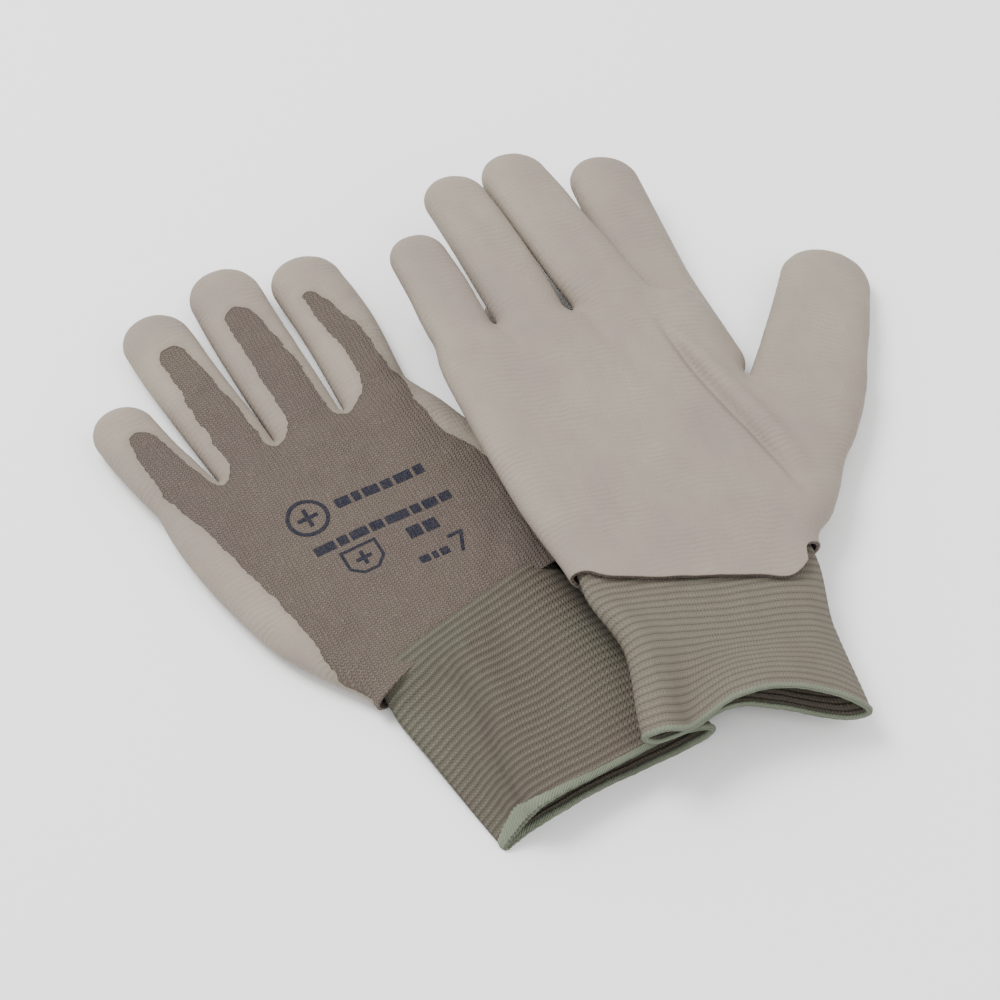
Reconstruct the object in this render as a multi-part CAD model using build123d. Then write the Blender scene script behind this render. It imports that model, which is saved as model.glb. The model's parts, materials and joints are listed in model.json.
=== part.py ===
from build123d import *
import math
import os
from collections import namedtuple

# A pair of knitted work gloves with a dipped palm and a ribbed cuff. They lie as a pair: the left glove
# back up on the table, the right glove palm up, leaning on the left glove's thumb and cuff corner.
# Each glove is drawn in its own frame, origin at the middle of the wrist, +X towards the thumb,
# +Y towards the fingers, +Z up, and is then laid in place.

# ---- fabric ----
WALL = 0.9  # knitted liner
FILM = 0.35  # dipped coating
FLAT = 10.5  # height of a liner that lies flat
EDGE_FLAT = 0.45  # straight part of a folded edge, above and below the middle
EDGE = FLAT / 2 - EDGE_FLAT  # roundness of the folded edges
SEAM = 0.6  # clearance between pieces that bend against each other
SIDE_PLAY = 0.4  # clearance beside a stall that bends
END_WALL = 1.2  # fabric between the stalls, at the end of the hand
MOUND_START = (6.0, 2.0)  # where the thumb's mound begins, inside and above the wrist's corner

# ---- stalls: width at the root, width near the tip, length ----
Stall = namedtuple("Stall", "root tip length")
STALLS = {
    "little": Stall(19.5, 17.5, 41.0),
    "ring": Stall(21.0, 20.0, 63.5),
    "middle": Stall(22.5, 21.5, 69.5),
    "index": Stall(22.0, 21.5, 62.0),
    "thumb": Stall(32.0, 25.0, 64.0),
}
FINGERS = ("little", "ring", "middle", "index")
KNUCKLE = 0.47  # share of a stall that lies before its middle joint

# ---- back windows, where the knit stays bare ----
TONGUE_SIDE = 3.6  # film that wraps onto the back beside a finger's window
TONGUE_TIP = 13.0  # film that wraps over the tip
BACK_SIDE = 8.0  # film that wraps onto the back along the little finger's edge
BACK_THUMB = 12.0  # the same along the thumb's edge

# ---- cuff ----
WRIST_WIDTH = 66.0
CUFF_WIDTH = 64.0
CUFF_LENGTH = 61.0
CUFF_START = -6.0  # where the ribs begin, along the glove
CUFF_WALL = WALL + FILM  # flush with the film outside, and with the liner inside
ELASTIC = 0.5  # section of the elastic yarn
ELASTIC_PLAY = 0.08
ELASTIC_TURNS = 11
BINDING_HEIGHT = 3.2
BINDING_LAP = 0.35  # how far the overlock stands out from the cuff on each side
TAIL = (9.0, 2.4, 0.5)  # sewn-down end of the overlock thread: length, width, height
TAIL_ACROSS = -24.0  # its place across the cuff
TAIL_GAP = 0.1  # between the tail and the binding

# ---- print on the back ----
INK = 0.15
PRINT_AT = (-8.0, 42.0)
ICON_AT = (-15.5, 12.9)
ICON_RADIUS = 7.0
ICON_LINE = 1.4
BARS = (  # centre x and y, length and height of each bar
    (8.4, 13.2, 30.0, 4.2),
    (2.1, 0.6, 44.0, 4.2),
    (-7.6, -8.4, 12.0, 9.0),
    (12.9, -7.0, 11.0, 4.6),
    (10.3, -17.5, 9.0, 3.4),
)
NUMERAL_AT = (19.6, -20.0)
NUMERAL = (6.6, 4.4, 1.2)  # height, width, stroke

TABLE_GAP = 0.3  # film's height above the table, on which the cuff's binding rests

# ---- how each glove lies, and how many joints each stall and the wrist have ----
Root = namedtuple("Root", "x y lean")  # middle of a stall's root, and its lean towards the thumb
Lay = namedtuple("Lay", "palm turn wrist tilt roots heel_side thumb_side thenar cuff_lean cuff_drop cuff_roll bends")
LAYS = {
    "left": Lay(
        palm=-1, turn=29.6, wrist=(-9.3, -52.0), tilt=0.0,
        roots={
            "little": Root(-50.5, 85.5, -10.5),
            "ring": Root(-28.6, 92.2, -3.4),
            "middle": Root(-5.8, 93.3, 1.6),
            "index": Root(18.3, 93.4, 4.0),
            "thumb": Root(54.0, 49.0, 23.0),
        },
        heel_side=((-49.0, 18.0), (-59.0, 52.0)),
        thumb_side=((38.0, 25.0), (38.5, 65.0)),
        thenar=((48.0, 7.0), (60.5, 24.0)),
        cuff_lean=8.0, cuff_drop=0.0, cuff_roll=0.0,
        bends={"little": 1, "ring": 1, "middle": 1, "index": 1, "thumb": 0, "wrist": 0},
    ),
    "right": Lay(
        palm=1, turn=16.9, wrist=(50.1, -28.6), tilt=8.6,
        roots={
            "little": Root(-38.2, 89.5, -7.5),
            "ring": Root(-14.6, 92.0, -9.4),
            "middle": Root(10.8, 94.2, -11.8),
            "index": Root(33.6, 95.6, -6.9),
            "thumb": Root(58.4, 44.4, 29.9),
        },
        heel_side=((-41.5, 25.0), (-46.5, 60.0)),
        thumb_side=((41.0, 25.0), (43.5, 65.0)),
        thenar=((52.0, 4.0), (65.0, 19.0)),
        cuff_lean=3.5, cuff_drop=-4.2, cuff_roll=6.4,
        bends={"little": 2, "ring": 2, "middle": 2, "index": 2, "thumb": 2, "wrist": 1},
    ),
}


def aim(root):
    """Location of a stall: origin at its root, +Y along it."""
    return Pos(root.x, root.y, 0) * Rot(0, 0, -root.lean)


def corner(root, across, along=0.0):
    """Point beside a stall's root, in the glove's plan."""
    point = (aim(root) * Pos(across, along, 0)).position
    return (point.X, point.Y)


def round_edges(form, radius, sides):
    """Round the top and bottom edges that the test named sides picks."""
    top = form.bounding_box().max.Z
    rims = form.edges().filter_by(lambda edge: abs(abs(edge.center().Z) - top) < 1e-3)
    return fillet(rims.filter_by(sides), radius)


def flat_form(face, grow, sides):
    """Flat tube's solid form on a plan, grown above and below like its plan is at its sides."""
    form = extrude(face, amount=FLAT / 2 + grow, both=True)
    return round_edges(form, EDGE + grow, sides)


def stall_plan(stall, grow, start=0.0):
    """Plan of a stall: straight sides from its root, tangent to a round tip."""
    half = stall.root / 2 + grow
    foot = Line((-half, start), (half, start))
    tip = Pos(0, stall.length - stall.tip / 2) * CenterArc((0, 0), stall.tip / 2 + grow, 0, 360)
    return make_hull([foot, tip])


def stall_form(stall, grow, start=0.0):
    """Solid form of a stall, round along both sides and the tip, flat at its root."""
    return flat_form(stall_plan(stall, grow, start), grow, lambda edge: edge.center().Y > start + 0.01)


def half_space(start, end, size=400.0):
    """Block from start to end along Y."""
    return Pos(0, (start + end) / 2, 0) * Box(size, end - start, size)


def stall_pieces(stall, back, bends):
    """Liner and coating of one stall, clear of the hand and cut at its middle where it bends there."""
    outer = stall_form(stall, 0.0)
    hollow = stall_form(stall, -WALL, -END_WALL)
    skin = stall_form(stall, FILM) - outer
    if stall is not STALLS["thumb"]:
        window = Stall(stall.root - 2 * TONGUE_SIDE, stall.tip - 2 * TONGUE_SIDE, stall.length - TONGUE_TIP)
        cut = extrude(stall_plan(window, 0.0, -1.0), amount=FLAT)
        skin -= cut if back > 0 else Pos(0, 0, -FLAT) * cut
    liner = outer - hollow
    start = SEAM if bends else 0.0
    middle, end = stall.length * KNUCKLE, stall.length + 2 * FILM
    spans = {"": (start, end)}
    if bends == 2:
        spans = {"base": (start, middle), "tip": (middle + SEAM, end)}
    pieces = {}
    for part, (start, end) in spans.items():
        block = half_space(start, end)
        pieces[part] = {"liner": liner & block, "coating": skin & block}
    return pieces


def palm_plan(lay, side_grow, thumb_grow, end_back):
    """Plan of the palm: curved sides, the wrist's line, and one short line for each finger's root."""
    low_left, low_right = wrist_corners(lay, side_grow, thumb_grow)
    stalls = [(lay.roots[name], STALLS[name]) for name in FINGERS]
    first, last = stalls[0], stalls[-1]
    end = []
    for root, stall in stalls:
        left = -stall.root / 2 - (side_grow if root is first[0] else 0)
        right = stall.root / 2 + (thumb_grow if root is last[0] else 0)
        end += [corner(root, left, -end_back), corner(root, right, -end_back)]
    heel = [(x - side_grow, y) for x, y in lay.heel_side]
    web = [(x + thumb_grow, y) for x, y in reversed(lay.thumb_side)]
    left_edge = Spline([low_left] + heel + [end[0]])
    right_edge = Spline([end[-1]] + web + [low_right])
    return make_face([left_edge, Polyline(end), right_edge, Line(low_right, low_left)])


def wrist_corners(lay, side_grow, thumb_grow):
    """Ends of the wrist's line, in the glove's plan."""
    wrist = Rot(0, 0, lay.cuff_lean)
    left = (wrist * Pos(-WRIST_WIDTH / 2 - side_grow, CUFF_START, 0)).position
    right = (wrist * Pos(WRIST_WIDTH / 2 + thumb_grow, CUFF_START, 0)).position
    return (left.X, left.Y), (right.X, right.Y)


def thenar_plan(lay, grow, end_back):
    """Plan of the thumb's mound, from the wrist and the palm out to the thumb's root."""
    corner_x, corner_y = wrist_corners(lay, grow, grow)[1]
    start = (corner_x - MOUND_START[0], corner_y + MOUND_START[1])
    root, stall = lay.roots["thumb"], STALLS["thumb"]
    outer = corner(root, stall.root / 2 + grow, -end_back)
    crotch = corner(root, -stall.root / 2 - grow, -end_back)
    inside = corner(root, -stall.root / 2 - grow, -30)
    mound = Spline([start] + [(x + grow, y) for x, y in lay.thenar] + [outer])
    return make_face([mound, Line(outer, crotch), Line(crotch, inside), Line(inside, start)])


def curved(edge):
    """True for the curved side edges, not for the straight open ends."""
    return edge.geom_type != GeomType.LINE


def hand_form(lay, grow, end_back):
    """Solid form of palm and thumb mound together."""
    palm = flat_form(palm_plan(lay, grow, grow, end_back), grow, curved)
    mound = flat_form(thenar_plan(lay, grow, end_back), grow, curved)
    return palm + mound


def hand_pieces(lay):
    """Liner and coating of the hand, open at the wrist and at the five stalls."""
    outer = hand_form(lay, 0.0, 0.0)
    liner = outer - hand_form(lay, -WALL, END_WALL)
    skin = hand_form(lay, FILM, 0.0) - outer
    window = extrude(palm_plan(lay, -BACK_SIDE, -BACK_THUMB, -1.0), amount=FLAT)
    skin -= window if lay.palm < 0 else Pos(0, 0, -FLAT) * window
    for name, stall in STALLS.items():
        place = aim(lay.roots[name])
        clear = place * stall_form(stall, FILM + (SIDE_PLAY if lay.bends[name] else 0.0))
        liner -= place * stall_form(stall, -WALL, -3 * END_WALL) + clear
        skin -= clear
    mouth = Rot(0, 0, lay.cuff_lean) * Pos(0, CUFF_START, 0)
    inside = Plane.XZ * RectangleRounded(WRIST_WIDTH - 2 * WALL, FLAT - 2 * WALL, EDGE - WALL - 0.05)
    liner -= mouth * extrude(inside, amount=4 * WALL, both=True)
    return {"liner": liner, "coating": skin}


def cuff_station(lay, share):
    """Location on the cuff's middle line: share 0 at the wrist, 1 at the open end."""
    seam = SEAM * lay.bends["wrist"]
    start = Rot(0, 0, lay.cuff_lean) * Pos(0, CUFF_START - seam - share * CUFF_LENGTH, 0)
    return Pos(0, 0, share * lay.cuff_drop) * start * Rot(0, share * lay.cuff_roll, 0)


def cuff_section(lay, share, grow):
    """Flat tube's section at one station, grown outwards from the inside of the cuff."""
    width = WRIST_WIDTH + (CUFF_WIDTH - WRIST_WIDTH) * share - 2 * WALL + 2 * grow
    height = FLAT - 2 * WALL + 2 * grow
    return cuff_station(lay, share) * Rot(90, 0, 0) * RectangleRounded(width, height, EDGE - WALL + grow)


def cuff_form(lay, start, end, grow):
    """Solid form between two stations, grown outwards from the inside of the cuff."""
    return loft([cuff_section(lay, start, grow), cuff_section(lay, end, grow)], ruled=True)


def cuff_tube(lay, start, end, inner, outer):
    """Tube between two stations, from inner to outer grow."""
    return cuff_form(lay, start, end, outer) - cuff_form(lay, start, end, inner)


def cuff_slope(lay):
    """Rotation of a station's frame that turns its Y axis along the cuff's falling middle line."""
    return Rot(math.degrees(math.atan2(-lay.cuff_drop, CUFF_LENGTH)), 0, 0)


def cuff_binding(lay, bound, cuff):
    """Overlock round the open end: a straight prism outside, the cuff's own shape inside."""
    width = CUFF_WIDTH + 2 * FILM + 2 * BINDING_LAP
    height = FLAT + 2 * FILM + 2 * BINDING_LAP
    section = Rot(90, 0, 0) * RectangleRounded(width, height, EDGE + FILM + BINDING_LAP)
    place = cuff_station(lay, bound) * cuff_slope(lay)
    outer = place * extrude(section, amount=BINDING_HEIGHT + BINDING_LAP)
    hole = cuff_form(lay, bound, 1.0 + 2 * BINDING_LAP / CUFF_LENGTH, -BINDING_LAP)
    return outer - hole - cuff


def cuff_pieces(lay):
    """Ribbed cuff, the elastic yarn laid in it, and the overlock that binds its open end."""
    whole = cuff_tube(lay, 0.0, 1.0, 0.0, CUFF_WALL)
    core = (CUFF_WALL - ELASTIC) / 2
    turns = []
    for number in range(ELASTIC_TURNS):
        share = (number + 1) / (ELASTIC_TURNS + 1)
        half = ELASTIC / 2 / CUFF_LENGTH
        play = ELASTIC_PLAY / CUFF_LENGTH
        turns.append(cuff_tube(lay, share - half, share + half, core, core + ELASTIC))
        whole -= cuff_tube(lay, share - half - play, share + half + play,
                           core - ELASTIC_PLAY, core + ELASTIC + ELASTIC_PLAY)
    bound = 1.0 - BINDING_HEIGHT / CUFF_LENGTH
    binding = cuff_binding(lay, bound, whole)
    length, width, height = TAIL
    lift = FLAT / 2 + FILM + height / 2
    before = TAIL_GAP + length / 2
    spot = cuff_station(lay, bound) * cuff_slope(lay) * Pos(TAIL_ACROSS, before, lift)
    tail = spot * Box(width, length, height) - cuff_form(lay, 0.0, 1.0, CUFF_WALL)
    return {"cuff": whole, "cuff_elastic": Compound(turns), "cuff_overlock": binding,
            "overlock_tail": tail}


def numeral_seven():
    """Plan of the size numeral, from two strokes."""
    height, width, stroke = NUMERAL
    bar = Pos(0, height - stroke / 2) * Rectangle(width, stroke)
    leg = Polyline([(width / 2, height), (width / 2 - stroke, height), (-stroke, 0), (0, 0), (width / 2, height)])
    return bar + make_face(leg)


def print_pieces(lay):
    """Marks on the back of the hand: a plain round icon, bars and the size numeral."""
    x0, y0 = PRINT_AT
    ring = Circle(ICON_RADIUS) - Circle(ICON_RADIUS - ICON_LINE)
    cross = Rectangle(ICON_LINE, ICON_RADIUS) + Rectangle(ICON_RADIUS, ICON_LINE)
    marks = [Pos(*ICON_AT) * (ring + cross)]
    for x, y, length, height in BARS:
        marks.append(Pos(x, y) * Rectangle(length, height))
    marks.append(Pos(*NUMERAL_AT) * numeral_seven())
    solids = [extrude(Pos(x0, y0) * mark, amount=INK) for mark in marks]
    side = -lay.palm
    solids = [Pos(0, 0, FLAT / 2) * solid for solid in solids]
    if side < 0:
        solids = [mirror(solid, Plane.XY) for solid in solids]
    return Compound([solid for group in solids for solid in group.solids()])


def glove_pieces(hand, lay):
    """Every piece of one glove in the glove's own frame, by node name."""
    pieces = {}
    for part, solid in hand_pieces(lay).items():
        pieces[f"{hand}_hand_{part}"] = solid
    for name, stall in STALLS.items():
        for section, parts in stall_pieces(stall, -lay.palm, lay.bends[name]).items():
            for part, solid in parts.items():
                words = [hand, name, section, part] if section else [hand, name, part]
                pieces["_".join(words)] = aim(lay.roots[name]) * solid
    for part, solid in cuff_pieces(lay).items():
        pieces[f"{hand}_{part}"] = solid
    pieces[f"{hand}_back_print"] = print_pieces(lay)
    return pieces


def laid(lay, height=0.0):
    """Where a glove lies on the table."""
    return Pos(*lay.wrist, height) * Rot(0, 0, lay.turn) * Rot(0, lay.tilt, 0)


def lowest(solids):
    """Lowest point of some solids."""
    return min(solid.bounding_box().min.Z for solid in solids)


def build():
    """All pieces in the pair's frame, and each glove's final location."""
    pieces, places = {}, {}
    for hand, lay in LAYS.items():
        own = glove_pieces(hand, lay)
        skins = [laid(lay) * own[name] for name in own if name.endswith("coating")]
        places[hand] = laid(lay, TABLE_GAP - lowest(skins))
        pieces.update({name: places[hand] * solid for name, solid in own.items()})
    whole = Compound([solid for piece in pieces.values() for solid in piece.solids()]).bounding_box()
    centre = whole.center()
    shift = Pos(-centre.X, -centre.Y, -whole.min.Z)
    pieces = {name: shift * solid for name, solid in pieces.items()}
    places = {hand: shift * place for hand, place in places.items()}
    return pieces, places


def main():
    """Write one STEP file for each piece."""
    os.makedirs("parts", exist_ok=True)
    pieces, places = build()
    for name, solid in pieces.items():
        export_step(solid, f"parts/{name}.step")
    print(len(pieces), "pieces")


if __name__ == "__main__":
    main()
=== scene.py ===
"""Looks of a pair of knitted work gloves with a dipped palm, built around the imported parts.

Each glove is shaped in its own frame, in millimetres: origin at the middle of the wrist, +X towards the
thumb, +Y towards the fingers, +Z up. Hand and fingers are one smooth field, contoured and cut where the
bodies meet; a second, clipped layer is the dipped film; the cuff is a ribbed tube with a bound mouth.
"""

import json
import logging
import math
from dataclasses import dataclass, replace
from enum import Enum

import bpy
import numpy as np
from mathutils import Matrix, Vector

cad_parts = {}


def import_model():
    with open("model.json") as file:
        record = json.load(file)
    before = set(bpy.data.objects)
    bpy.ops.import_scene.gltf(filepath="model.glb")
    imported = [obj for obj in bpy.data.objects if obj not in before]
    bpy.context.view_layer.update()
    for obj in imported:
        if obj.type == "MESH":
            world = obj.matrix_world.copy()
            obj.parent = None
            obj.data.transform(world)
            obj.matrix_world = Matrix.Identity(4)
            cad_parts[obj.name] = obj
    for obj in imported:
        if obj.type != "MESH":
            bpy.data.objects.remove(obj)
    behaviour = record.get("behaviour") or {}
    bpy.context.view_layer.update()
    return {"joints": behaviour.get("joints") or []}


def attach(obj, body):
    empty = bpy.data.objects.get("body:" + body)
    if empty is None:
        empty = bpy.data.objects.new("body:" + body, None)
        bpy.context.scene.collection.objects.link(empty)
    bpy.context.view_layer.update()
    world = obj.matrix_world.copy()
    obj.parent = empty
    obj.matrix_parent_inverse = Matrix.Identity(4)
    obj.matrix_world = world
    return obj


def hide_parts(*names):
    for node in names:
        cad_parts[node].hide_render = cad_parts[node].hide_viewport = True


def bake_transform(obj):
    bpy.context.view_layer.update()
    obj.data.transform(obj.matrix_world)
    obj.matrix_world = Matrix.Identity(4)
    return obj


LOG = logging.getLogger("gloves")
MM = 0.001
LINER_DEPTH = 0.9
FILM_DEPTH = 0.38
STITCH_ROW = 2.7  # rows of knitting that show at the film's edge
FULL_STEP, QUICK_STEP = 0.85, 1.6  # distance between the points of the hands
PRINT_STEP, QUICK_PRINT_STEP = 0.28, 0.5  # the same under the print
PRINT_AT = (-8.0, 42.0)
LEFT_WRIST = (-0.0093, -0.052)  # from the point looked at to the left glove's wrist, in metres


class Side(Enum):
    """Which way the palm of a glove looks."""

    PALM_UP = 1
    PALM_DOWN = -1


# ---------------------------------------------------------------- small numeric helpers


def smooth_min(a: np.ndarray, b: np.ndarray, reach: float) -> np.ndarray:
    """Lesser of two fields, rounded where they differ by less than the reach."""
    mix = np.clip(0.5 + 0.5 * (b - a) / reach, 0.0, 1.0)
    return b + (a - b) * mix - reach * mix * (1.0 - mix)


def smooth_step(value: np.ndarray, start: float, end: float) -> np.ndarray:
    """0 before start, 1 after end, and a smooth rise between them."""
    share = np.clip((value - start) / (end - start), 0.0, 1.0)
    return share * share * (3.0 - 2.0 * share)


def through(points: np.ndarray, count: int, closed: bool = False) -> np.ndarray:
    """Smooth curve through points.

    Args:
        points: Control points, one to a row, of any dimension.
        count: Number of samples for each span.
        closed: True to join the last point to the first.

    Returns:
        Samples of a Catmull-Rom curve: each span is the cubic whose end slopes are half the chord
        between the neighbours of its end points.
    """
    points = np.asarray(points, float)
    if closed:
        padded = np.vstack([points[-1:], points, points[:2]])
    else:
        padded = np.vstack([2 * points[0] - points[1], points, 2 * points[-1] - points[-2]])
    before, start, end, after = padded[:-3], padded[1:-2], padded[2:-1], padded[3:]
    t = (np.arange(count) / count)[:, None, None]
    curve = 0.5 * (
        2 * start
        + (end - before) * t
        + (2 * before - 5 * start + 4 * end - after) * t**2
        + (3 * start - before - 3 * end + after) * t**3
    )
    samples = curve.transpose(1, 0, 2).reshape(-1, points.shape[1])
    return samples if closed else np.vstack([samples, points[-1:]])


def ripple(x: np.ndarray, y: np.ndarray, length: float, seed: int) -> np.ndarray:
    """Soft random relief between about -1 and 1: seven plane waves of nearly the same length."""
    rng = np.random.default_rng(seed)
    total = np.zeros(np.broadcast(x, y).shape)
    for angle, phase, stretch in zip(
        rng.uniform(0, math.tau, 7), rng.uniform(0, math.tau, 7), rng.uniform(0.7, 1.5, 7)
    ):
        wave = math.tau / (length * stretch)
        total = total + np.sin(wave * (x * math.cos(angle) + y * math.sin(angle)) + phase)
    return total / 3.5


def polygon_distance(loop: np.ndarray, x: np.ndarray, y: np.ndarray) -> np.ndarray:
    """Signed distance to a closed outline, negative inside."""
    best = np.full(x.shape, 1e9)
    inside = np.zeros(x.shape, bool)
    for (ax, ay), (bx, by) in zip(loop, np.roll(loop, -1, axis=0)):
        ex, ey = bx - ax, by - ay
        px, py = x - ax, y - ay
        share = np.clip((px * ex + py * ey) / (ex * ex + ey * ey), 0.0, 1.0)
        best = np.minimum(best, (px - share * ex) ** 2 + (py - share * ey) ** 2)
        crosses = (ay > y) != (by > y)
        if ey:
            inside ^= crosses & (px < ex * py / ey)
    return np.where(inside, -1.0, 1.0) * np.sqrt(best)


# ---------------------------------------------------------------- meshes


@dataclass
class Surface:
    """Open or closed triangle surface with a normal and cloth coordinates at each point."""

    points: np.ndarray
    normals: np.ndarray
    cloth: np.ndarray
    triangles: np.ndarray
    rim: np.ndarray | None = None

    def columns(self) -> np.ndarray:
        """All values at the points, side by side."""
        rim = self.rim if self.rim is not None else np.zeros(len(self.points))
        return np.hstack([self.points, self.normals, self.cloth, rim[:, None]])

    @staticmethod
    def from_columns(columns: np.ndarray, triangles: np.ndarray) -> "Surface":
        """Surface from values side by side, without the points that no triangle uses."""
        used, inverse = np.unique(triangles, return_inverse=True)
        columns = columns[used]
        normals = columns[:, 3:6]
        normals = normals / np.maximum(np.linalg.norm(normals, axis=1, keepdims=True), 1e-9)
        faces = inverse.reshape(triangles.shape)
        return Surface(columns[:, :3], normals, columns[:, 6:8], faces, columns[:, 8])

    def clip(self, keep: np.ndarray) -> "Surface":
        """Part where a value is positive.

        Args:
            keep: One value for each point.

        Returns:
            The surface cut along the value's zero line: a triangle with one kept corner shrinks to it,
            and one with two kept corners becomes a four-sided piece.
        """
        keep = np.where(np.abs(keep) < 1e-6, 1e-6, keep)
        inside = keep[self.triangles] > 0
        count = inside.sum(1)
        columns, faces = self.columns(), [self.triangles[count == 3]]
        for wanted in (1, 2):
            cut = self.triangles[count == wanted]
            if not len(cut):
                continue
            odd = np.argmax(inside[count == wanted] == (wanted == 1), axis=1)
            rows = np.arange(len(cut))
            first, second, third = (cut[rows, (odd + k) % 3] for k in range(3))
            edges = np.sort(np.vstack([np.c_[first, second], np.c_[first, third]]), axis=1)
            unique, where = np.unique(edges, axis=0, return_inverse=True)
            where = where.ravel()
            a, b = unique[:, 0], unique[:, 1]
            share = (keep[a] / (keep[a] - keep[b]))[:, None]
            new = len(columns) + where
            columns = np.vstack([columns, columns[a] * (1 - share) + columns[b] * share])
            keep = np.concatenate([keep, np.zeros(len(a))])
            on_second, on_third = new[: len(cut)], new[len(cut) :]
            if wanted == 1:
                faces.append(np.c_[first, on_second, on_third])
            else:
                faces.append(np.c_[on_second, second, third])
                faces.append(np.c_[on_second, third, on_third])
        return Surface.from_columns(columns, np.vstack(faces))

    def joined(self) -> "Surface":
        """Surface with points at the same place made one."""
        keys = np.round(self.points * 1e4).astype(np.int64)
        _, first, where = np.unique(keys, axis=0, return_index=True, return_inverse=True)
        faces = where.ravel()[self.triangles]
        solid = (faces[:, 0] != faces[:, 1]) & (faces[:, 1] != faces[:, 2]) & (faces[:, 0] != faces[:, 2])
        return Surface.from_columns(self.columns()[first], faces[solid])


def border(triangles: np.ndarray) -> np.ndarray:
    """Directed edges that only one triangle has."""
    edges = np.vstack([triangles[:, [0, 1]], triangles[:, [1, 2]], triangles[:, [2, 0]]])
    low, high = edges.min(1), edges.max(1)
    key = low.astype(np.int64) * (int(triangles.max()) + 1) + high
    _, first, count = np.unique(key, return_index=True, return_counts=True)
    return edges[first[count == 1]]


class Glaze(Enum):
    """Names of the mesh layers that the finishes read."""

    CLOTH = "cloth"
    RIM = "rim"


def mesh_object(name: str, points: np.ndarray, faces: np.ndarray, corner_normals: np.ndarray,
                cloth: np.ndarray, rim: np.ndarray) -> bpy.types.Object:
    """Object from triangles.

    Args:
        name: Name of the piece.
        points: Places in metres.
        faces: Three point numbers to a row.
        corner_normals: One normal for each corner, face by face.
        cloth: Cloth coordinates of each point, in millimetres.
        rim: Distance of each point from the film's edge, in millimetres.

    Returns:
        The object, linked into the scene.
    """
    mesh = bpy.data.meshes.new(name)
    mesh.vertices.add(len(points))
    mesh.vertices.foreach_set("co", points.astype(np.float32).ravel())
    mesh.loops.add(faces.size)
    mesh.loops.foreach_set("vertex_index", faces.astype(np.int32).ravel())
    mesh.polygons.add(len(faces))
    mesh.polygons.foreach_set("loop_start", np.arange(0, faces.size, 3, dtype=np.int32))
    mesh.polygons.foreach_set("use_smooth", np.ones(len(faces), bool))
    layer = mesh.uv_layers.new(name=Glaze.CLOTH.value)
    layer.data.foreach_set("uv", cloth[faces.ravel()].astype(np.float32).ravel())
    value = mesh.attributes.new(Glaze.RIM.value, "FLOAT", "POINT")
    value.data.foreach_set("value", rim.astype(np.float32))
    mesh.update(calc_edges=True)
    mesh.validate()
    if len(mesh.loops) == len(corner_normals):
        mesh.normals_split_custom_set(corner_normals.tolist())
    piece = bpy.data.objects.new(name, mesh)
    bpy.context.scene.collection.objects.link(piece)
    return piece


def shell(name: str, surface: Surface, depth: float, place: "Place") -> bpy.types.Object:
    """Closed layer of cloth or film.

    Args:
        name: Name of the piece.
        surface: Its outer face, in the glove's frame.
        depth: Thickness, measured inwards.
        place: Where the glove lies.

    Returns:
        The object: outer face, inner face and the rim between them.
    """
    surface = surface.joined()
    number = len(surface.points)
    inner = surface.points - surface.normals * depth
    faces = surface.triangles
    edges = border(faces)
    a, b = edges[:, 0], edges[:, 1]
    along = surface.points[b] - surface.points[a]
    side = np.cross(along, surface.normals[a] + surface.normals[b])
    side /= np.maximum(np.linalg.norm(side, axis=1, keepdims=True), 1e-9)
    rim_normal = np.zeros((number, 3))
    np.add.at(rim_normal, a, side)
    np.add.at(rim_normal, b, side)
    rim_normal /= np.maximum(np.linalg.norm(rim_normal, axis=1, keepdims=True), 1e-9)
    sides = np.vstack([np.c_[b, a, a + number], np.c_[b, a + number, b + number]])
    triangles = np.vstack([faces, faces[:, ::-1] + number, sides])
    normals = np.vstack([
        surface.normals[faces].reshape(-1, 3),
        -surface.normals[faces[:, ::-1]].reshape(-1, 3),
        rim_normal[sides % number].reshape(-1, 3),
    ])
    rim = surface.rim if surface.rim is not None else np.zeros(number)
    return mesh_object(
        name,
        place.world(np.vstack([surface.points, inner])),
        triangles,
        normals @ place.turn.T,
        np.vstack([surface.cloth, surface.cloth]),
        np.concatenate([rim, rim]),
    )


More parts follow.
